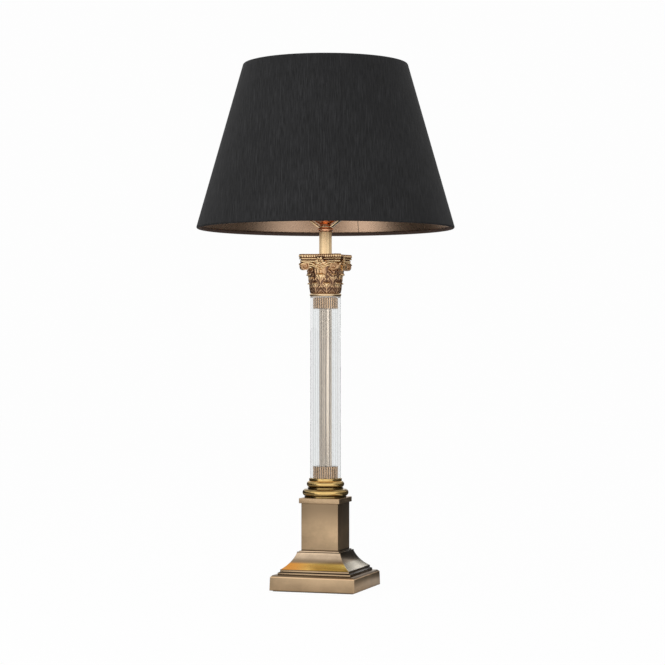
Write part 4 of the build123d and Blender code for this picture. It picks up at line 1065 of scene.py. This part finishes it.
    def scroll(self):
        """One corner's scroll, facing +X: a rolled band whose two cheeks spread apart towards the bell."""
        size = self.size
        centre = Vector((size.scroll_place, 0, self.lip - size.scroll_radius))
        band, spread, full = 2.5 * MM, 0.56, size.scroll_radius
        edge = 24           # degrees from the ball's middle ring to the edge of the band; the rest are cheeks
        put_down()
        bpy.ops.mesh.primitive_uv_sphere_add(segments=120, ring_count=48, radius=1)
        roll = named("roll")
        for vertex in roll.data.vertices:
            x, y, z = vertex.co
            angle = math.atan2(y, x)
            side = 1 if z >= 0 else -1
            lean = math.degrees(math.asin(min(abs(z), 1.0)))
            on_band = lean < edge
            share = 1.0 if on_band else (90 - lean) / (90 - edge)
            radius = full * share
            a, b = radius * math.cos(angle), radius * math.sin(angle)
            half = band + spread * (full - a)
            if on_band:
                t = side * half * lean / edge
                radius += 0.35 * MM * math.cos(math.radians(lean / edge * 90)) - 0.25 * MM
                a, b = radius * math.cos(angle), radius * math.sin(angle)
            else:
                coil = (angle / (2 * math.pi) + 1.6 * share) % 1.0
                groove = math.exp(-(((coil - 0.5) / 0.16) ** 2)) * ease_in((share - 0.2) / 0.2)
                fan = math.cos(15 * angle) * ease_in((share - 0.3) / 0.3) * ease_in((1 - share) / 0.12)
                eye = 1.2 * MM * (1 - ease_in((share - 0.1) / 0.12))
                t = side * (half + eye + 0.16 * MM * fan - 1.3 * MM * groove - 0.6 * MM * (1 - share))
            vertex.co = centre + Vector((a, t, b))
        return close_up(roll, 50)

    def face_x(self, y):
        """How far out from the axis the hollow side of the abacus stands, at a distance along it."""
        return 27.8 * MM + 7.6 * MM * (y / (28.3 * MM)) ** 2

    def stalk(self, name, line, radii):
        """A round tapering stalk through (across, up, out) places in millimetres, on the side facing +X."""
        put_down()
        curve = bpy.data.curves.new(name, "CURVE")
        curve.dimensions = "3D"
        curve.bevel_depth = MM
        curve.bevel_resolution = 3
        curve.use_fill_caps = True
        curve.resolution_u = 8
        spline = curve.splines.new("NURBS")
        spline.points.add(len(line) - 1)
        for point, (across, up, out), radius in zip(spline.points, line, radii):
            x = self.face_x(abs(across) * MM) + out * MM
            point.co = (x, across * MM, self.lip + up * MM, 1)
            point.radius = radius
        spline.order_u = 3
        spline.use_endpoint_u = True
        piece = bpy.data.objects.new(name, curve)
        bpy.context.scene.collection.objects.link(piece)
        take(piece)
        bpy.ops.object.convert(target="MESH")
        return close_up(bpy.context.object, 60)

    def spray(self):
        """What springs from below one side's flower: stems to both corners, leaves and a palmette."""
        pieces = [
            self.stalk(name, [(side * across, up, out) for across, up, out in line], radii)
            for side in (-1, 1) for name, (line, radii) in STALKS.items()
        ]
        for across, up, size in BEADS:
            put_down()
            bpy.ops.mesh.primitive_ico_sphere_add(
                subdivisions=3, radius=size * MM, location=(28.6 * MM, across * MM, self.lip + up * MM)
            )
            pieces.append(close_up(named("bead"), 60))
        return joined("spray", *pieces)

    def rim_line(self, inset, ridge=0.0):
        """The abacus's outline as (x, y) places: hollow sides, cut corners, and ridges if asked."""
        corner_r, cut_w, mid_r = 45 * MM, 10 * MM, 27.8 * MM
        side_steps, cut_steps, side_ridges, cut_ridges = 128, 18, 16, 3
        corner = (corner_r - inset) / math.sqrt(2)
        half_cut = (cut_w / 2 - inset * 0.4) / math.sqrt(2)
        far, near = corner + half_cut, corner - half_cut
        middle = mid_r - inset
        rise = far - middle
        arc_r = (near * near + rise * rise) / (2 * rise)
        side, cut = [], []
        for j in range(side_steps):
            t = (j + 0.5) / side_steps
            y = near * (2 * t - 1)
            x = middle + arc_r - math.sqrt(arc_r * arc_r - y * y)
            deep = ridge * (1 - abs(math.sin(math.pi * side_ridges * t)) ** 0.7)
            side.append((x - deep, y))
        for j in range(cut_steps):
            t = (j + 0.5) / cut_steps
            deep = ridge * (1 - abs(math.sin(math.pi * cut_ridges * t)) ** 0.7) / math.sqrt(2)
            cut.append((far + (near - far) * t - deep, near + (far - near) * t - deep))
        rim = []
        for k in range(4):
            c, s = math.cos(k * math.pi / 2), math.sin(k * math.pi / 2)
            rim += [(x * c - y * s, x * s + y * c) for x, y in side + cut]
        return rim

    def abacus(self):
        """The layered square top with hollow sides, drawn up ring by ring."""
        levels = [
            (inset * MM, ridge * MM, start + up * MM, rub)
            for start, table in ((self.lip, ABACUS), (self.top, ABACUS_TOP))
            for inset, ridge, up, rub in table
        ]
        put_down()
        count = len(self.rim_line(0))
        bpy.ops.mesh.primitive_circle_add(vertices=count, radius=1)
        slab = named("abacus")
        bpy.ops.object.mode_set(mode="EDIT")
        bpy.ops.mesh.select_all(action="SELECT")
        for _ in levels[1:]:
            bpy.ops.mesh.extrude_region_move(TRANSFORM_OT_translate={"value": (0, 0, 1)})
        bpy.ops.object.mode_set(mode="OBJECT")
        rims = [self.rim_line(inset, ridge) for inset, ridge, _, _ in levels]
        smooth_rims = [self.rim_line(inset) for inset, _, _, _ in levels]
        worn = []
        for vertex in slab.data.vertices:
            ring = round(vertex.co.z)
            step = round((math.atan2(vertex.co.y, vertex.co.x) / (2 * math.pi)) * count) % count
            (x, y), z, rub = rims[ring][step], levels[ring][2], levels[ring][3]
            valley = math.dist((x, y), smooth_rims[ring][step]) / MM
            # patina stays in the ridges' valleys, and painted shade darkens the sides behind the flowers
            shaded = ease_in((8.5 * MM - min(abs(x), abs(y))) / (3 * MM)) * (z < self.top - 2 * MM)
            worn.append(rub - 0.55 * min(valley, 1.0) - 0.5 * shaded)
            vertex.co = (x, y, z)
        rubbed(slab, worn)
        take(slab)
        bpy.ops.object.mode_set(mode="EDIT")
        bpy.ops.mesh.select_all(action="DESELECT")
        bpy.ops.mesh.select_non_manifold()
        bpy.ops.mesh.edge_face_add()
        return close_up(slab, 50)

    def flower(self):
        """A six-petalled flower over a smaller ring of petals, with a raised eye, facing +X."""
        out = 29.8 * MM
        z = self.lip + 2.0 * MM
        pieces = []
        for count, ring, petal_r, turn, lift in ((6, 4.5, 2.05, 0, 0.4), (6, 2.75, 0.85, 30, 0.6)):
            for k in range(count):
                angle = math.radians(60 * k + turn)
                put_down()
                bpy.ops.mesh.primitive_uv_sphere_add(segments=24, ring_count=16, radius=1)
                petal = named("petal")
                for vertex in petal.data.vertices:
                    x, y, up = vertex.co
                    cup = 0.9 * x * x - 0.45 * math.exp(-((y / 0.22) ** 2))
                    radial = ring + petal_r * x
                    side = petal_r * 0.92 * y * (1 + 0.2 * x)
                    high = 1.0 * up + cup * 0.8 + lift
                    vertex.co = (
                        out + high * MM,
                        (radial * math.cos(angle) - side * math.sin(angle)) * MM,
                        z + (radial * math.sin(angle) + side * math.cos(angle)) * MM,
                    )
                pieces.append(close_up(petal, 60))
        put_down()
        bpy.ops.mesh.primitive_ico_sphere_add(
            subdivisions=3, radius=1.35 * MM, location=(out + 1.5 * MM, 0, z)
        )
        pieces.append(close_up(named("eye"), 60))
        put_down()
        bpy.ops.mesh.primitive_cylinder_add(
            vertices=32, radius=5.2 * MM, depth=5 * MM, location=(out - 2.7 * MM, 0, z),
            rotation=(0, math.pi / 2, 0),
        )
        pieces = [rubbed(piece, 0.95) for piece in pieces]
        pieces.append(rubbed(close_up(named("boss"), 60), 0.15))
        return joined("flower", *pieces)

    def mark_patina_and_shade(self, whole):
        """Marks hollows and raised parts, for the patina and the painted shade."""
        take(whole)
        bpy.ops.object.mode_set(mode="VERTEX_PAINT")
        bpy.ops.paint.vertex_color_dirt(
            blur_strength=0.6, blur_iterations=1, clean_angle=math.radians(170), dirt_angle=math.radians(20),
            dirt_only=False, normalize=True,
        )
        bpy.ops.object.mode_set(mode="OBJECT")
        whole.data.color_attributes[0].name = "open_air"


# ---- harp, lampholder, bulb and the parts inside ----
class LAMP_OT_harp(bpy.types.Operator):
    """Finishes the harp, its saddle and sleeves, and the finial"""
    bl_idname = "lamp.harp"
    bl_label = "Harp and finial"

    def execute(self, context):
        edge = 0.25 * MM
        for node, body in (
            ("harp_saddle", "lamp"), ("harp", "lamp"), ("harp_sleeve_left", "left_sleeve"),
            ("harp_sleeve_right", "right_sleeve"), ("finial", "finial"),
        ):
            piece = copied(node, node + "_brass", edge if node == "harp_saddle" else 0)
            settle(piece, body, "brass_polished", FINISHES["polished"], node)
        return {"FINISHED"}


class LAMP_OT_holder(bpy.types.Operator):
    """Finishes the lampholder, its switch, the bulb and the hidden fixings"""
    bl_idname = "lamp.holder"
    bl_label = "Lampholder and fixings"

    def execute(self, context):
        for node, finish in {
            "base_felt": "felt", "base_plate": "steel", "plate_screws": "steel", "base_weight": "iron",
            "flex_bush": "satin", "tie_rod": "steel", "tie_washer": "steel", "tie_nut": "steel",
            "holder_cap": "copper", "holder_locknut": "steel", "holder_shell": "polished",
            "holder_liner": "fibre", "holder_body": "moulding", "terminal_screws": "polished",
            "screw_shell": "polished", "centre_contact": "polished", "switch_shaft": "steel",
            "switch_knob": "moulding", "bulb_contact": "steel", "bulb_insulator": "insulation",
            "bulb_cap": "steel", "bulb_glass": "bulb", "bulb_stem": "bulb", "bulb_filament": "steel",
        }.items():
            paint(node, FINISHES[finish])
        return {"FINISHED"}


# ---- the studio ----
# lights: degrees round from the camera, distance from the lamp's axis, height, size and watts
LIGHTS = {"key": (-48, 2.3, 1.5, (1.5, 1.8), 26), "fill": (40, 2.6, 0.8, (1.6, 1.6), 7)}
# cards that only reflections see: degrees round from the camera, distance from the lamp's axis, height, size,
# glow, and whether it lies level
CARDS = {
    "flag_right": (104, 0.9, 0.21, (2.5, 0.42), 0.05, False),
    "flag_left": (-110, 0.9, 0.21, (2.5, 0.42), 0.03, False),
    "flag_low": (156, 1.2, 0.17, (0.5, 0.34), 0.05, False),
    "flag_right_mid": (136, 0.9, 0.49, (1.1, 0.14), 0.16, False),
    "flag_right_high": (112, 0.9, 0.86, (1.9, 0.88), 0.56, False),
    "flag_left_high": (-124, 0.9, 0.86, (1.55, 0.88), 0.6, False),
    "softbox": (-38, 1.8, 0.5, (0.8, 0.9), 1.2, False),
    "floor_right": (84, 0.85, 0.002, (1.4, 1.5), 0.6, True),
    "floor_right_back": (141, 0.78, 0.004, (1.25, 1.22), 0.045, True),
    "floor_left": (-116, 0.75, 0.002, (1.6, 1.3), 0.26, True),
    "floor_front": (0, 2.2, 0.003, (1.5, 3.6), 1.1, True),
    "ceiling": (0, 0.0, 2.0, (3.2, 3.2), 0.8, True),
}
PHOTO_SIDE = 665            # the photo's side in pixels, for the lens's shift


def around(azimuth, out, level):
    """A place at a distance from the lamp's axis, at an azimuth and a height."""
    return Vector((out * math.sin(azimuth), -out * math.cos(azimuth), level))


def card(name, azimuth, out, level, size, glow, flat):
    """A flat card that only reflections see, upright or lying level."""
    put_down()
    bpy.ops.mesh.primitive_plane_add(size=1)
    piece = bpy.context.object
    piece.name = name
    piece.scale = (*size, 1)
    piece.location = around(azimuth, out, level)
    piece.rotation_euler = (0 if flat else math.pi / 2, 0, azimuth)
    material = bpy.data.materials.new(name)
    nodes = Nodes(material)
    nodes.tree.nodes.remove(nodes.tree.nodes["Principled BSDF"])
    nodes.show(nodes.node("ShaderNodeEmission", {}, {"Color": (glow, glow, glow, 1)}))
    piece.data.materials.append(material)
    piece.visible_camera = False
    piece.visible_diffuse = False
    piece.visible_shadow = False
    piece.visible_transmission = False


class LAMP_OT_studio(bpy.types.Operator):
    """Sets the white floor, the soft lights, the cards and the camera"""
    bl_idname = "lamp.studio"
    bl_label = "Studio"

    def execute(self, context):
        studio = context.scene.lamp_studio
        self.floor()
        self.sky(context.scene)
        self.camera(context.scene, studio)
        turn = studio.azimuth
        for name, (degrees, *rest) in LIGHTS.items():
            self.lamp(name, turn + math.radians(degrees), *rest)
        for name, (degrees, *rest) in CARDS.items():
            card(name, turn + math.radians(degrees), *rest)
        return {"FINISHED"}

    def floor(self):
        """A white floor that the camera and glass see as a glow, with the lamp's shadow on it."""
        put_down()
        bpy.ops.mesh.primitive_plane_add(size=14)
        floor = bpy.context.object
        floor.name = "floor"
        finish = Finish("floor_paint", Roughness=1.0, Specular_IOR_Level=0.0, Base_Color=(0.9, 0.9, 0.9))
        seen = finish.seen_by("Is Camera Ray", "Is Transmission Ray")
        glow = finish.node("ShaderNodeEmission", {}, {"Color": (1, 1, 1, 1), "Strength": 1.0})
        paint_shader = Signal(finish, finish.shader.outputs[0])
        finish.show(finish.node("ShaderNodeMixShader", {}, {0: seen * 0.97, 1: paint_shader, 2: glow}))
        floor.data.materials.append(finish.material)

    def sky(self, scene):
        """A soft even sky that the camera, reflections and glass see as white."""
        scene.world = bpy.data.worlds.new("studio")
        nodes = Nodes(scene.world)
        seen = nodes.seen_by("Is Camera Ray", "Is Glossy Ray", "Is Transmission Ray")
        back = nodes.tree.nodes["Background"]
        nodes.feed(back.inputs["Color"], (1, 1, 1, 1))
        lit, white = 0.55, 0.985
        nodes.feed(back.inputs["Strength"], seen * (white - lit) + lit)

    def camera(self, scene, studio):
        """The level camera of the photo."""
        eye = bpy.data.cameras.new("camera")
        camera = bpy.data.objects.new("camera", eye)
        scene.collection.objects.link(camera)
        camera.location = around(studio.azimuth, studio.distance, studio.eye_height)
        camera.rotation_euler = (math.pi / 2, 0, studio.azimuth)
        eye.sensor_width = 36
        eye.lens = studio.lens
        eye.shift_x, eye.shift_y = 7 / PHOTO_SIDE, 19.5 / PHOTO_SIDE
        eye.clip_start, eye.clip_end = 0.1, 50
        scene.camera = camera
        scene.view_settings.view_transform = "Standard"

    def lamp(self, name, azimuth, distance, height, size, power):
        """A soft light that looks at the middle of the lamp."""
        light = bpy.data.lights.new(name, "AREA")
        light.shape = "RECTANGLE"
        light.size, light.size_y = size
        light.energy = power
        lamp = bpy.data.objects.new(name, light)
        bpy.context.scene.collection.objects.link(lamp)
        lamp.location = around(azimuth, distance, height)
        lamp.rotation_mode = "QUATERNION"
        lamp.rotation_quaternion = (Vector((0, 0, 0.4)) - lamp.location).to_track_quat("-Z", "Y")
        lamp.visible_glossy = False


class LAMP_PT_lamp(bpy.types.Panel):
    """Lists the lamp's settings and the steps that build it"""
    bl_idname = "LAMP_PT_lamp"
    bl_label = "Column Table Lamp"
    bl_space_type = "VIEW_3D"
    bl_region_type = "UI"
    bl_category = "Lamp"

    def draw(self, context):
        for name, group in (("lamp_shade", "Shade"), ("lamp_metal", "Metal"), ("lamp_capital", "Capital"),
                            ("lamp_studio", "Studio")):
            box = self.layout.box()
            box.label(text=group)
            settings = getattr(context.scene, name)
            for key in settings.__annotations__:
                box.prop(settings, key)
        for step in STEPS:
            self.layout.operator(step.bl_idname)


SETTINGS = {
    "lamp_shade": LampShadeSettings,
    "lamp_metal": LampMetalSettings,
    "lamp_capital": LampCapitalSettings,
    "lamp_studio": LampStudioSettings,
}
STEPS = (
    LAMP_OT_foot, LAMP_OT_rings, LAMP_OT_column, LAMP_OT_capital, LAMP_OT_harp, LAMP_OT_holder, LAMP_OT_shade,
    LAMP_OT_studio,
)


def register():
    for name, group in SETTINGS.items():
        bpy.utils.register_class(group)
        setattr(bpy.types.Scene, name, bpy.props.PointerProperty(type=group))
    for kind in (*STEPS, LAMP_PT_lamp):
        bpy.utils.register_class(kind)


def unregister():
    for kind in (LAMP_PT_lamp, *reversed(STEPS)):
        bpy.utils.unregister_class(kind)
    for name, group in SETTINGS.items():
        delattr(bpy.types.Scene, name)
        bpy.utils.unregister_class(group)


def main():
    register()
    mix_finishes(bpy.context.scene)
    bpy.ops.lamp.foot()
    bpy.ops.lamp.rings()
    bpy.ops.lamp.column()
    bpy.ops.lamp.capital()
    bpy.ops.lamp.harp()
    bpy.ops.lamp.holder()
    bpy.ops.lamp.shade()
    bpy.ops.lamp.studio()
    put_down()


if __name__ == "__main__":
    main()
